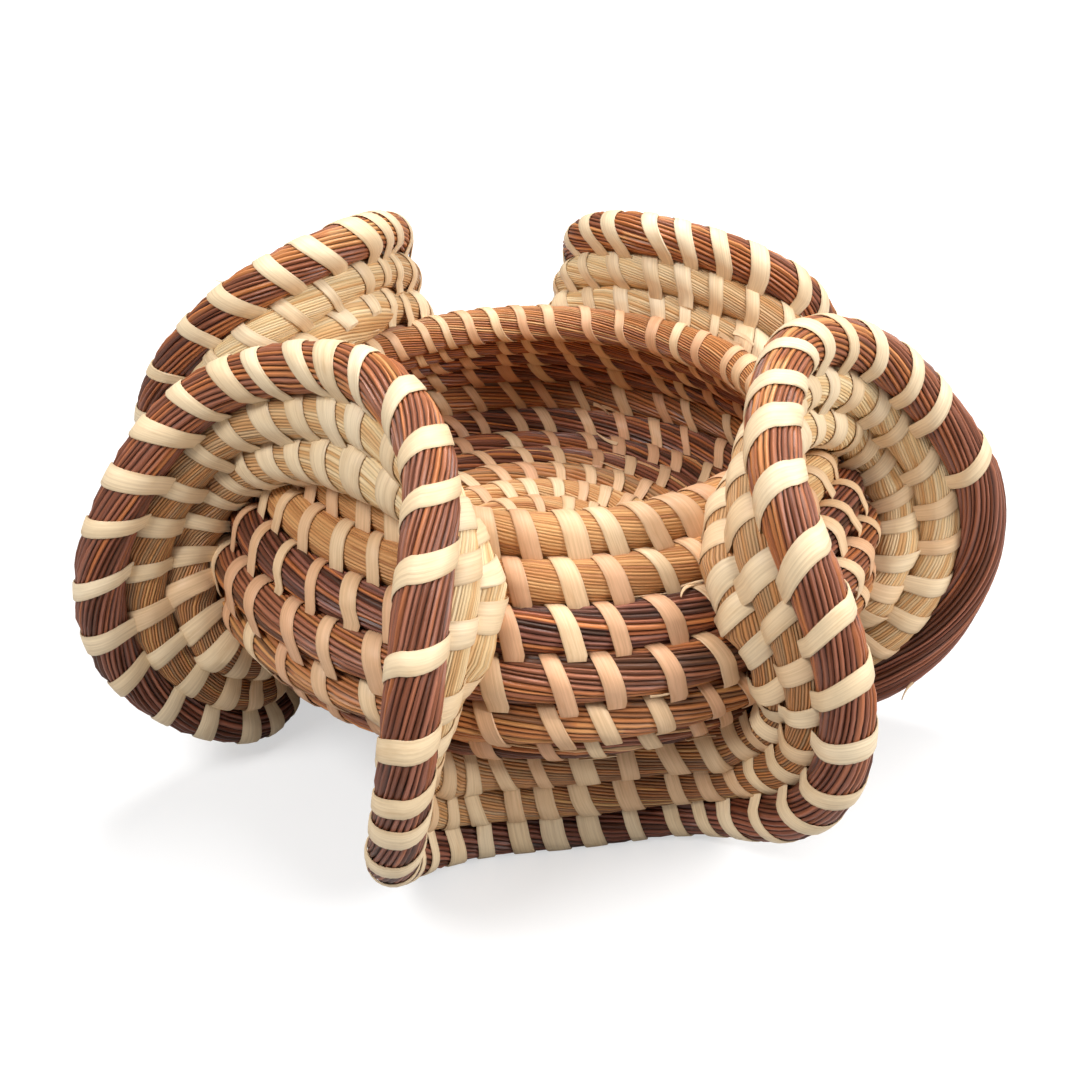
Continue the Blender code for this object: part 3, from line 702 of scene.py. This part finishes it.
def strand_rings(rail, place, strands, kind, seams):
    """Columns of points along the bundle: for each strand its groove and its two shoulders."""
    path, up, face = (rail.at(key, place) for key in ("path", "up", "face"))
    radius = rail.at("radius", place)
    wander = slow_noise(strands, rail.length, len(place), WANDER_RUN)
    stand = slow_noise(strands, rail.length, len(place), STAND_RUN)
    stand = np.clip(stand, -STAND_MOST, STAND_MOST)
    sway = slow_noise(1, rail.length, len(place), TWIST_SWAY_RUN)[0]
    twist = place / TWIST_RUN + TWIST_SWAY * sway
    edges = (np.arange(strands)[:, None] + WANDER * wander) / strands + twist
    gap = np.diff(np.r_[edges, edges[:1] + 1], axis=0)
    _, groove, proud = kind
    rings, lanes, angles = [], [], []
    for k in range(strands):
        for share in RIDGE:
            angle = (edges[k] + gap[k] * share) * TURN
            pinch = pinched(angle, place, seams)
            shut = -groove * (1 - SHUT_SHARE * pinch ** 3)
            rise = (shut if share == 0 else proud * stand[k] * (1 - pinch)) - SUNK
            reach = radius * (1 - PINCH_SHARE * pinch) + rise
            rings.append(path + up * (np.cos(angle) * reach)[:, None]
                         + face * (np.sin(angle) * reach)[:, None])
            lanes.append(k + share)
            angles.append(angle)
    return np.stack(rings, 1), np.array(lanes + [strands]), np.stack(angles, 1)


def strand_tones(run, strands, place, azimuth):
    """The tone of every strand at each place: lengths of one colour each, in the run's mix."""
    pick = RNG.random((strands, int(place[-1] / STRAND_RUN) + 2))
    segment = (place[None] / STRAND_RUN + RNG.random(strands)[:, None]).astype(int)
    tone = np.take_along_axis(pick, segment % pick.shape[1], 1)
    if run["name"] == "shoulder_coil":
        return SHOULDER_TONE + (1 - SHOULDER_TONE) * tone
    if run["name"] in ("wall_coil", "belly_coil"):
        return WALL_TONE * tone
    if run["name"] == "ruffle_edge_coil":
        # On the edge coil, painted shade darkens the strands low in the troughs, and painted
        # light lightens them at the crests.
        crest = crest_share(azimuth)
        tone = tone * (1 - EDGE_LOW_PAINTED_SHADE * (1 - crest)) + EDGE_CREST_PAINTED_LIGHT * crest ** 2 * (1 - tone)
    return tone


def bundle(run, seams, material):
    """The strands of one run: a tube whose section is a ring of separate ridges."""
    rail = Rail(run)
    kind = FINE_GRASS if run["slot"] == "sweetgrass" else COARSE_RUSH
    girth = TURN * np.median(run["radius"])
    strands = int(round(girth / kind[0]))
    step = max(SECTION_STEP, rail.length * strands * 2 * len(RIDGE) / MOST_TRIANGLES)
    sections = max(int(rail.length / step), LEAST_SECTIONS) + 1
    place = np.linspace(0, rail.length, sections)
    points, lane, angles = strand_rings(rail, place, strands, kind, seams)
    columns = angles.shape[1]
    faces, section, corner = (block[:, OUTWARD] for block in tube_faces(sections, columns))
    across, length = lane[corner], place[section]
    azimuth, row = rail.at("azimuth", place), rail.at("row", place)
    tone = strand_tones(run, strands, place, azimuth)
    obj = make_mesh(
        run["name"] + "_strands", points, faces,
        {"lane": np.stack([across, length / MM], 2),
         "OFBake": bake_lanes(across / strands, length, rail.length, girth)},
        {"tone": np.repeat(tone, len(RIDGE), 0).T,
         "dark": darkness(run, azimuth, row)[:, None] * rim_painted_light(run, row, angles),
         "warm": np.repeat(warmth(run, azimuth, row), columns),
         "pale": np.repeat(pale_and_painted_light(run, azimuth), columns)}, material)
    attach(obj, "root")
    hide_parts(run["name"])


# Texture places: where the lanes of a tube start and how long they are, the margins beside
# lanes and round the cells of strips, and how many times more of those go side by side.
LANE_START, LANE_USED, LANE_MARGIN, CELL_MARGIN, GRID_SHAPE = 0.01, 0.96, 0.03, 0.05, 2.2


def within(share, margin):
    """A share of a cell, moved in from both of its edges by a margin."""
    return margin + (1 - 2 * margin) * share


def bake_lanes(across, length, whole, girth):
    """Texture places of a long thin tube: cut into even lanes that fill a square."""
    lanes = max(int(round(sqrt(whole / girth))), 1)
    lane_length = whole / lanes
    which = np.minimum(((length.min(1) + 1e-9) / lane_length).astype(int), lanes - 1)[:, None]
    along = (length - which * lane_length) / lane_length
    return np.stack([LANE_START + LANE_USED * along,
                     (which + within(across, LANE_MARGIN)) / lanes], 2)


# Stations of a stitch round its bundle, from the row below on one face to the other face,
# and the share of its slant that it has taken up between the top and the first of them.
WRAP_ANGLES = np.radians(np.linspace(118, -118, 17))
WRAP_SHARE = 0.80
# At each end two more stations lie in the row below and on it, at these depths. Then for
# every station its share of the strip's width, and whether it follows the bundle's radius.
BITE_DEPTHS = (1.3 * MM, -0.08 * MM)
NARROWED = np.r_[0.85, 0.97, np.ones(len(WRAP_ANGLES)), 0.97, 0.85]
WRAPPED = np.r_[0, 0, np.ones(len(WRAP_ANGLES)), 0, 0]
STATIONS = len(WRAPPED)
# Section of a strip: across its width, and up from its underside, in shares.
STRIP_SECTION = ((-1.0, 0.45), (-0.86, 1.0), (0.0, 1.10), (0.86, 1.0), (1.0, 0.45),
                 (0.95, 0.0), (-0.95, 0.0))
SHARP_ANGLE = radians(38)
# How far apart two strips lie in the lengthwise coordinates, so that they look different.
LANE_STEP = 11.0


def wrap_shift(angle, inner):
    """Share of its slant that a strip has taken up at an angle round its bundle."""
    last = WRAP_ANGLES[0]
    outside = (np.sin(angle - last / 2) / sin(last / 2) + 1) / 2
    inside = (1 - np.cos(angle)) / (1 - cos(last))
    return WRAP_SHARE * np.where(angle > 0, outside, -inside * inner)


def stitch_route(radius, below, under, bite):
    """Places and outward directions of each stitch's stations in its bundle's own plane."""
    around = np.stack([np.cos(WRAP_ANGLES), np.sin(WRAP_ANGLES)], 1)
    offset = np.zeros((len(radius), STATIONS, 2))
    outward = np.zeros_like(offset)
    offset[:, 2:-2], outward[:, 2:-2] = radius[:, None, None] * around, around
    for end, sign, stations in ((0, 1, (0, 1)), (1, -1, (-1, -2))):
        for station, depth in zip(stations, BITE_DEPTHS):
            offset[:, station, 0] = -below + (under - depth) * np.cos(bite[:, end])
            offset[:, station, 1] = sign * (under - depth) * np.sin(bite[:, end])
            outward[:, station] = (0.0, sign)
    return offset, outward


def strip_uvs(travelled, half_width, station, corner):
    """Lengthwise coordinates in millimetres, and places on the texture in a grid of cells."""
    count = len(travelled)
    across = np.array([s[0] for s in STRIP_SECTION + STRIP_SECTION[:1]])[corner]
    girth = np.linspace(0, 1, len(STRIP_SECTION) + 1)[corner]
    number = np.arange(count)[:, None, None]
    length = travelled[:, station]
    lane = np.stack([across * half_width[:, None, None] / MM + number * LANE_STEP,
                     length / MM], 3)
    columns = max(int(sqrt(count * GRID_SHAPE)), 1)
    along = length / travelled[:, -1][:, None, None]
    rows = ceil(count / columns)
    bake = np.stack([(number % columns + within(girth, CELL_MARGIN)) / columns + 0 * along,
                     (number // columns + within(along, CELL_MARGIN)) / rows], 3)
    return lane, bake


def stitches(run, seams, material):
    """Palmetto strips over a run, each biting into the row before it."""
    rail = Rail(run)
    places, inner = seams["place"], seams["inner"]
    count, radius = len(places), rail.at("radius", places)
    offset, outward = stitch_route(radius * (1 - PINCH_SHARE), rail.at("below", places),
                                   rail.at("under", places), seams["bite"])
    step = reach_of(np.diff(offset, axis=1))
    travelled = np.concatenate([np.zeros((count, 1)), np.cumsum(step, 1)], 1)
    share = travelled / travelled[:, -1:]
    sway = STRIP_SWAY * RNG.normal(0, 1, (count, 1)) * np.sin(share * pi)
    taken = np.r_[1, 1, wrap_shift(WRAP_ANGLES, inner), -inner, -inner]
    shift = seams["slant"][:, None] * taken + sway
    points = np.zeros((count, STATIONS, len(STRIP_SECTION), 3))
    for s, (across, rise) in enumerate(STRIP_SECTION):
        place = (places[:, None] + shift + across * seams["half"][:, None] * NARROWED).ravel()
        fuller = rail.at("radius", place).reshape(count, STATIONS) - radius[:, None]
        lift = STRIP_LIFT + rise * seams["thick"][:, None] + fuller * WRAPPED
        up = rail.at("bite", place)
        ahead = np.cross(rail.at("up", place), rail.at("face", place))
        face = np.cross(ahead, up)
        rise_up, rise_face = ((offset[:, :, k] + outward[:, :, k] * lift).ravel()[:, None]
                              for k in (0, 1))
        points[:, :, s] = (rail.at("path", place) + up * rise_up
                           + face * rise_face).reshape(count, STATIONS, 3)
    one, station, corner = tube_faces(STATIONS, len(STRIP_SECTION))
    each = STATIONS * len(STRIP_SECTION)
    faces = (one + (np.arange(count) * each)[:, None, None]).reshape(-1, 4)
    lane, bake = strip_uvs(travelled, seams["half"], station, corner)
    obj = make_mesh(run["name"] + "_binding", points, faces, {"lane": lane, "OFBake": bake},
                    {"tone": np.repeat(seams["tone"], each),
                     "edge": np.tile([abs(s[0]) for s in STRIP_SECTION], count * STATIONS)},
                    material)
    obj.data.set_sharp_from_angle(angle=SHARP_ANGLE)
    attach(obj, "root")


# Loose ends of strips, by run: row, azimuth and angle round the bundle in degrees, length and
# how far the tip stands out in mm. A negative length runs back along the coil.
LOOSE_ENDS = (
    ("belly_coil", (4, 167, -112, -6.0, 1.4), (4, 165, -118, -8.0, 0.6)),
    ("base_coil", (6, 158, -110, 7.0, 1.0)), ("floor_border_coil", (8, 150, -60, 6.0, 1.2)),
    ("shoulder_coil", (1, 14, 158, 8.0, 0.3)),
    ("wall_coil", (2, 22, 26, 6.0, 0.7), (2, 26, 34, -5.0, 0.9), (3, 20, 150, -6.0, 0.4)),
    ("base_coil", (5, 24, 104, 6.0, 1.0), (5, 12, 110, -7.0, 0.7)),
    ("ruffle_coil", (0, 134, -92, 6.0, 2.6), (0, 135, -66, -5.0, 2.2),
     (0, 133, -112, 7.0, 1.6), (0, 136, -84, -6.0, 2.8), (0, 340, 96, 6.0, 1.6),
     (1, 343, 88, -5.0, 1.8)),
    ("ruffle_edge_coil", (2, 248, 25, 3.0, 2.0), (2, 81, 60, 4.0, 1.6)),
)
LOOSE_WIDTH, LOOSE_THICKNESS, LOOSE_STEPS, LOOSE_TONE = 0.6 * MM, 0.20 * MM, 10, 0.6
LOOSE_TURN, LOOSE_NARROWING = 0.3, 0.6
# Their lengthwise coordinates: how far one lies from the next, and how long a step is.
LOOSE_APART, LOOSE_STEP = 5.0, 0.9


def loose_end(rail, row, azimuth, angle, length, lift):
    """Points of one loose end: a thin strip that narrows and rises off its bundle."""
    run = rail.run
    away = from_zero(run["azimuth"] - azimuth) + np.abs(run["row"] - row)
    start = rail.along[away.argmin()]
    share = np.linspace(0, 1, LOOSE_STEPS)
    place = start + share * length
    turn = (angle + RNG.normal(0, LOOSE_TURN) * share ** 2)[:, None]
    up, face = rail.at("up", place), rail.at("face", place)
    out = up * np.cos(turn) + face * np.sin(turn)
    rise = (rail.at("radius", place) + STRIP_THICKNESS + lift * share ** 2)[:, None]
    half = (LOOSE_WIDTH * (1 - LOOSE_NARROWING * share))[:, None]
    middle = rail.at("path", place) + out * rise
    side, thick = (face * np.cos(turn) - up * np.sin(turn)) * half, out * LOOSE_THICKNESS
    return np.stack([middle - side, middle - side + thick, middle + side + thick,
                     middle + side], 1)


def loose_ends(runs, material):
    rails = {run["name"]: Rail(run) for run in runs}
    points = np.concatenate([
        loose_end(rails[name], row, radians(azimuth), radians(angle), length * MM, lift * MM)
        for name, *ends in LOOSE_ENDS
        for row, azimuth, angle, length, lift in ends]).reshape(-1, 3)
    faces = []
    for first in range(0, len(points), LOOSE_STEPS * 4):
        last = first + LOOSE_STEPS * 4 - 4
        faces += [(first + 3, first + 2, first + 1, first), tuple(range(last, last + 4))]
        for a in range(first, last, 4):
            faces += [(a + k, a + (k + 1) % 4, a + 4 + (k + 1) % 4, a + 4 + k) for k in range(4)]
    faces = np.array(faces)
    lane = np.stack([faces % 4 + faces // (LOOSE_STEPS * 4) * LOOSE_APART,
                     faces // 4 % LOOSE_STEPS * LOOSE_STEP], 2)
    obj = make_mesh("loose_ends", points, faces, {"lane": lane},
                    {"tone": np.full(len(points), LOOSE_TONE), "edge": np.zeros(len(points))},
                    material)
    obj.data.set_sharp_from_angle(angle=SHARP_ANGLE)
    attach(obj, "root")


def nodes_of(name):
    made = bpy.data.materials.new(name)
    made.use_nodes = True
    return made, made.node_tree, made.node_tree.nodes["Principled BSDF"]


def feed(tree, node, sockets):
    """Gives sockets of a node, by name or number, a plain value or another node's output."""
    for socket, value in sockets.items():
        if hasattr(value, "is_output"):
            tree.links.new(value, node.inputs[socket])
        else:
            node.inputs[socket].default_value = value


def add(tree, kind, sockets=(), output=0, **settings):
    """A new node's output, after its settings are made and its sockets are fed."""
    node = tree.nodes.new("ShaderNode" + kind)
    for key, value in settings.items():
        setattr(node, key, value)
    feed(tree, node, dict(sockets))
    return node.outputs[output]


def attribute(tree, name):
    return add(tree, "Attribute", output="Fac", attribute_name=name)


def ramp(tree, source, *stops):
    """A colour for each value of a source, from stops that give a place and a colour."""
    colour = add(tree, "ValToRGB", {"Fac": source})
    elements = colour.node.color_ramp.elements
    while len(elements) < len(stops):
        elements.new(0.5)
    for element, (place, value) in zip(elements, stops):
        element.position = place
        element.color = value
    return colour


def mixed(tree, kind, factor, first, second):
    return add(tree, "Mix", {0: factor, 6: first, 7: second}, 2,
               data_type="RGBA", blend_type=kind)


def maths(tree, operation, first, second=0.0, third=0.0):
    return add(tree, "Math", {0: first, 1: second, 2: third}, operation=operation)


def bump(tree, strength, distance, height):
    return add(tree, "Bump", {"Strength": strength, "Distance": distance, "Height": height})


# Noises of the materials: how fine they are across and along, and where they start.
STREAKS, STRAND_FIBRES = (4.5, 0.05, 3.0), (6.0, 0.09, 9.0)
STRIP_RIBS, STRIP_STAINS = (2.4, 0.06, 1.0), (0.35, 0.10, 5.0)


def fibres(tree, across, along, seed):
    """Noise drawn out along a strand or strip, from its own lengthwise coordinates."""
    place = add(tree, "Mapping", {
        "Scale": (across, along, 1), "Location": (seed, seed * 1.7, seed),
        "Vector": add(tree, "UVMap", uv_map="lane")})
    return add(tree, "TexNoise", {
        "Scale": 1.0, "Detail": 3.0, "Roughness": 0.6, "Vector": place}, "Fac")


def strand_roundness(tree):
    """Nothing in the groove between two strands and one on the top of each."""
    lane = add(tree, "SeparateXYZ", {0: add(tree, "UVMap", uv_map="lane")})
    centred = maths(tree, "MULTIPLY_ADD", maths(tree, "FRACT", lane), 2.0, -1.0)
    return maths(tree, "SUBTRACT", 1.0, maths(tree, "MULTIPLY", centred, centred))


def grass_material():
    """Bundled strands: pale sweetgrass to dark rush, each strand with its own colour."""
    made, tree, shader = nodes_of("bundled_grass")
    tone = attribute(tree, "tone")
    # Amounts that dark strands have more of: how much more, and what every strand has.
    streaky, groove_shade_depth, swollen, glossy = (
        maths(tree, "MULTIPLY_ADD", attribute(tree, "dark"), more, least)
        for more, least in ((0.50, 0.38), (0.70, 0.25), (0.65, 0.35), (0.30, 0.25)))
    straw = ramp(tree, tone, (0.0, linear(0.92, 0.76, 0.56)), (0.35, linear(0.88, 0.69, 0.47)),
                 (0.7, linear(0.84, 0.62, 0.40)), (0.92, linear(0.75, 0.52, 0.32)),
                 (1.0, linear(0.65, 0.42, 0.26)))
    # Paler straw: partly its own colour, and partly painted light at the crests and inside the
    # front right fold.
    pale_straw_and_painted_light = ramp(tree, tone, (0.0, linear(0.98, 0.89, 0.72)),
                    (0.6, linear(0.95, 0.82, 0.61)), (1.0, linear(0.87, 0.68, 0.46)))
    rush = ramp(tree, tone, (0.0, linear(0.19, 0.07, 0.05)), (0.28, linear(0.42, 0.19, 0.13)),
                (0.50, linear(0.58, 0.36, 0.31)), (0.70, linear(0.67, 0.37, 0.22)),
                (0.88, linear(0.84, 0.51, 0.28)), (1.0, linear(0.94, 0.76, 0.56)))
    needle = ramp(tree, tone, (0.0, linear(0.45, 0.25, 0.13)), (0.4, linear(0.68, 0.40, 0.22)),
                  (0.75, linear(0.80, 0.50, 0.27)), (1.0, linear(0.90, 0.72, 0.46)))
    light = mixed(tree, "MIX", attribute(tree, "pale"), straw, pale_straw_and_painted_light)
    darks = mixed(tree, "MIX", attribute(tree, "warm"), rush, needle)
    colour = mixed(tree, "MIX", attribute(tree, "dark"), light, darks)
    streak = fibres(tree, *STREAKS)
    streak_tone = ramp(tree, streak, (0.30, (0.58, 0.52, 0.48, 1)), (0.62, (1.14, 1.12, 1.1, 1)))
    colour = mixed(tree, "MULTIPLY", streaky, colour, streak_tone)
    roundness = strand_roundness(tree)
    # Painted shade: the groove between two strands is darkened toward a shadow colour, nearly
    # black on dark strands.
    groove = maths(tree, "POWER", maths(tree, "SUBTRACT", 1.0, roundness), 1.7)
    shadow = mixed(tree, "MIX", attribute(tree, "dark"), linear(0.42, 0.25, 0.12),
                   linear(0.06, 0.02, 0.015))
    groove = maths(tree, "MULTIPLY", groove, groove_shade_depth)
    height = maths(tree, "MULTIPLY_ADD", fibres(tree, *STRAND_FIBRES), 0.2,
                   maths(tree, "MULTIPLY", roundness, swollen))
    feed(tree, shader, {
        "Base Color": mixed(tree, "MIX", groove, colour, shadow),
        "Roughness": add(tree, "MapRange",
                         {"To Min": 0.32, "To Max": 0.55, "Value": streak}, "Result"),
        "Specular IOR Level": glossy,
        "Normal": bump(tree, 1.0, 0.40 * MM, height)})
    return made


def palmetto_material():
    """Flat strips of dried palmetto leaf: pale cream with fine lengthwise ribs."""
    made, tree, shader = nodes_of("palmetto_strip")
    base = ramp(tree, attribute(tree, "tone"), (0.0, linear(0.96, 0.88, 0.75)),
                (0.40, linear(0.93, 0.83, 0.68)), (0.70, linear(0.91, 0.77, 0.61)),
                (1.0, linear(0.87, 0.68, 0.53)))
    ribs = fibres(tree, *STRIP_RIBS)
    rib_tone = ramp(tree, ribs, (0.3, (0.78, 0.72, 0.64, 1)), (0.62, (1.03, 1.02, 1.0, 1)))
    colour = mixed(tree, "MULTIPLY", 0.75, base, rib_tone)
    stain = ramp(tree, fibres(tree, *STRIP_STAINS), (0.55, (1, 1, 1, 1)),
                 (0.8, (0.80, 0.66, 0.50, 1)))
    colour = mixed(tree, "MULTIPLY", 0.6, colour, stain)
    edge = maths(tree, "MULTIPLY", maths(tree, "POWER", attribute(tree, "edge"), 6.0), 0.35)
    feed(tree, shader, {
        "Base Color": mixed(tree, "MIX", edge, colour, linear(0.55, 0.40, 0.25)),
        "Roughness": 0.5, "Specular IOR Level": 0.4,
        "Normal": bump(tree, 0.5, 0.12 * MM, ribs)})
    return made


# The start knot: how finely it is made, its strands' twist and ridges, its dished middle, and
# how round its ridges, its side and its top are.
KNOT_RINGS, KNOT_SPOKES, KNOT_TWIST = 14, 96, 0.9
KNOT_REACH, KNOT_RIDGE, KNOT_DIMPLE = 0.2 * MM, 0.3 * MM, 0.6 * MM
RIDGE_POWER, SIDE_POWER, TOP_POWER = 0.5, 0.55, 0.8
GOLDEN_SHARE = 0.381966


def knot_piece(grass):
    """The tied start: a dished button of radiating strands, three spokes to a strand."""
    low, high = np.array(KNOT)
    middle, half = (low + high) / 2, (high - low) / 2
    polar, spoke = np.meshgrid(np.linspace(0, pi, KNOT_RINGS + 1), np.arange(KNOT_SPOKES),
                               indexing="ij")
    out, side = np.clip(np.sin(polar), 0, 1), np.sign(np.cos(polar))
    angle = spoke / KNOT_SPOKES * TURN + KNOT_TWIST * out
    reach = half[0] + KNOT_REACH + (spoke % 3 != 0) * KNOT_RIDGE * out ** RIDGE_POWER
    reach = reach * out ** SIDE_POWER
    height = side * (half[2] * np.abs(np.cos(polar)) ** TOP_POWER - KNOT_DIMPLE * (1 - out))
    points = middle + np.stack([reach * np.cos(angle), reach * np.sin(angle), height], 2)
    faces = tube_faces(KNOT_RINGS + 1, KNOT_SPOKES)[0]
    tones = (np.arange(points.size // 3) % KNOT_SPOKES // 3 * GOLDEN_SHARE) % 1.0
    lane = np.stack([faces % KNOT_SPOKES / 3.0, faces // KNOT_SPOKES * 2.0], 2)
    obj = make_mesh("start_knot_strands", points, faces, {"lane": lane},
                    {"tone": tones, "dark": np.full(len(tones), 0.05),
                     "warm": np.zeros(len(tones)), "pale": np.zeros(len(tones))}, grass)
    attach(obj, "root")
    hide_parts("start_knot")


# The photograph's camera, worked out from the bowl and the ruffle: pixels of a 1080 frame.
CAMERA_FALL = radians(31.42)
CAMERA_DISTANCE = 300.1 * MM
CAMERA_FOCUS_PX = 1271.5
CAMERA_TARGET = (0.0, 38.0 * MM)
FRAME_PX = 1080
SENSOR_MM = 36.0


def link(name, data):
    obj = bpy.data.objects.new(name, data)
    bpy.context.scene.collection.objects.link(obj)
    return obj


def set_camera():
    data = bpy.data.cameras.new("camera")
    data.sensor_width = SENSOR_MM
    data.lens = SENSOR_MM * CAMERA_FOCUS_PX / FRAME_PX
    data.clip_start = 0.01
    data.clip_end = 20
    obj = link("camera", data)
    target = Vector((AXIS[0] + CAMERA_TARGET[0], AXIS[1], CAMERA_TARGET[1]))
    obj.location = target + Vector((0, -CAMERA_DISTANCE * cos(CAMERA_FALL),
                                    CAMERA_DISTANCE * sin(CAMERA_FALL)))
    obj.rotation_euler = (pi / 2 - CAMERA_FALL, 0, 0)
    bpy.context.scene.camera = obj


# Soft lamps: place, size and power, all turned to the middle of the basket.
LAMPS = {"key": ((-0.46, -0.44, 0.90), 0.40, 7.2), "fill": ((0.76, -0.27, 0.61), 0.50, 8.3),
         "top": ((0.05, 0.30, 1.00), 0.50, 8.4)}
LAMP_AIM = (0, 0, 0.05)
FLOOR_HALF, FLOOR_GREY, WORLD_LIGHT = 3.0, 0.45, 0.20
# The floor's own glow for the camera, from round the basket to the distance.
GLOW_FROM, GLOW_TO = (0.16, 0.56), (0.60, 1.0)


def set_lamps():
    for name, (place, size, power) in LAMPS.items():
        data = bpy.data.lights.new(name, "AREA")
        data.shape = "DISK"
        data.size = size
        data.energy = power
        obj = link(name, data)
        obj.location = place
        aim = Vector(LAMP_AIM) - Vector(place)
        obj.rotation_euler = aim.to_track_quat("-Z", "Y").to_euler()


def far_glow(tree):
    """Keeps the plain floor as white at a distance as it is round the basket."""
    place = add(tree, "TexCoord", output="Object")
    away = add(tree, "VectorMath", {0: place}, "Value", operation="LENGTH")
    return add(tree, "MapRange", {
        "From Min": GLOW_FROM[0], "From Max": GLOW_TO[0], "To Min": GLOW_FROM[1],
        "To Max": GLOW_TO[1], "Value": away}, "Result", interpolation_type="SMOOTHSTEP")


def seen(tree):
    return add(tree, "LightPath", output="Is Camera Ray")


def set_stage():
    mesh = bpy.data.meshes.new("floor")
    half = FLOOR_HALF
    mesh.from_pydata([(-half, -half, 0), (half, -half, 0), (half, half, 0), (-half, half, 0)],
                     [], [(0, 1, 2, 3)])
    made, tree, shader = nodes_of("floor_white")
    feed(tree, shader, {"Base Color": (FLOOR_GREY, FLOOR_GREY, FLOOR_GREY, 1), "Roughness": 0.9})
    glow = add(tree, "Emission", {
        "Color": (1, 1, 1, 1), "Strength": maths(tree, "MULTIPLY", seen(tree), far_glow(tree))})
    both = add(tree, "AddShader", {0: shader.outputs["BSDF"], 1: glow})
    feed(tree, tree.nodes["Material Output"], {"Surface": both})
    mesh.materials.append(made)
    link("floor", mesh)
    world = bpy.data.worlds.new("world")
    bpy.context.scene.world = world
    world.use_nodes = True
    tree = world.node_tree
    strength = add(tree, "MapRange", {
        "To Min": WORLD_LIGHT, "To Max": 1.0, "Value": seen(tree)}, "Result")
    feed(tree, tree.nodes["Background"], {"Color": (1, 1, 1, 1), "Strength": strength})
    bpy.context.scene.view_settings.view_transform = "Standard"


def main():
    grass = grass_material()
    palmetto = palmetto_material()
    floor, moves = levelling()
    axis = np.array([*AXIS, -floor])
    bowl = bowl_runs(axis)
    ruffle = ruffle_runs(moves, axis)
    fit_bowl(bowl)
    fit_radii(ruffle, np.concatenate([run["path"][:-1] for run in bowl]))
    seat_rows(ruffle)
    sew(bowl[::-1], -1)
    sew(ruffle, 1)
    for run in bowl + ruffle:
        seams = sewing(run)
        bundle(run, seams, grass)
        stitches(run, seams, palmetto)
    loose_ends(bowl + ruffle, palmetto)
    knot_piece(grass)
    set_camera()
    set_lamps()
    set_stage()


main()
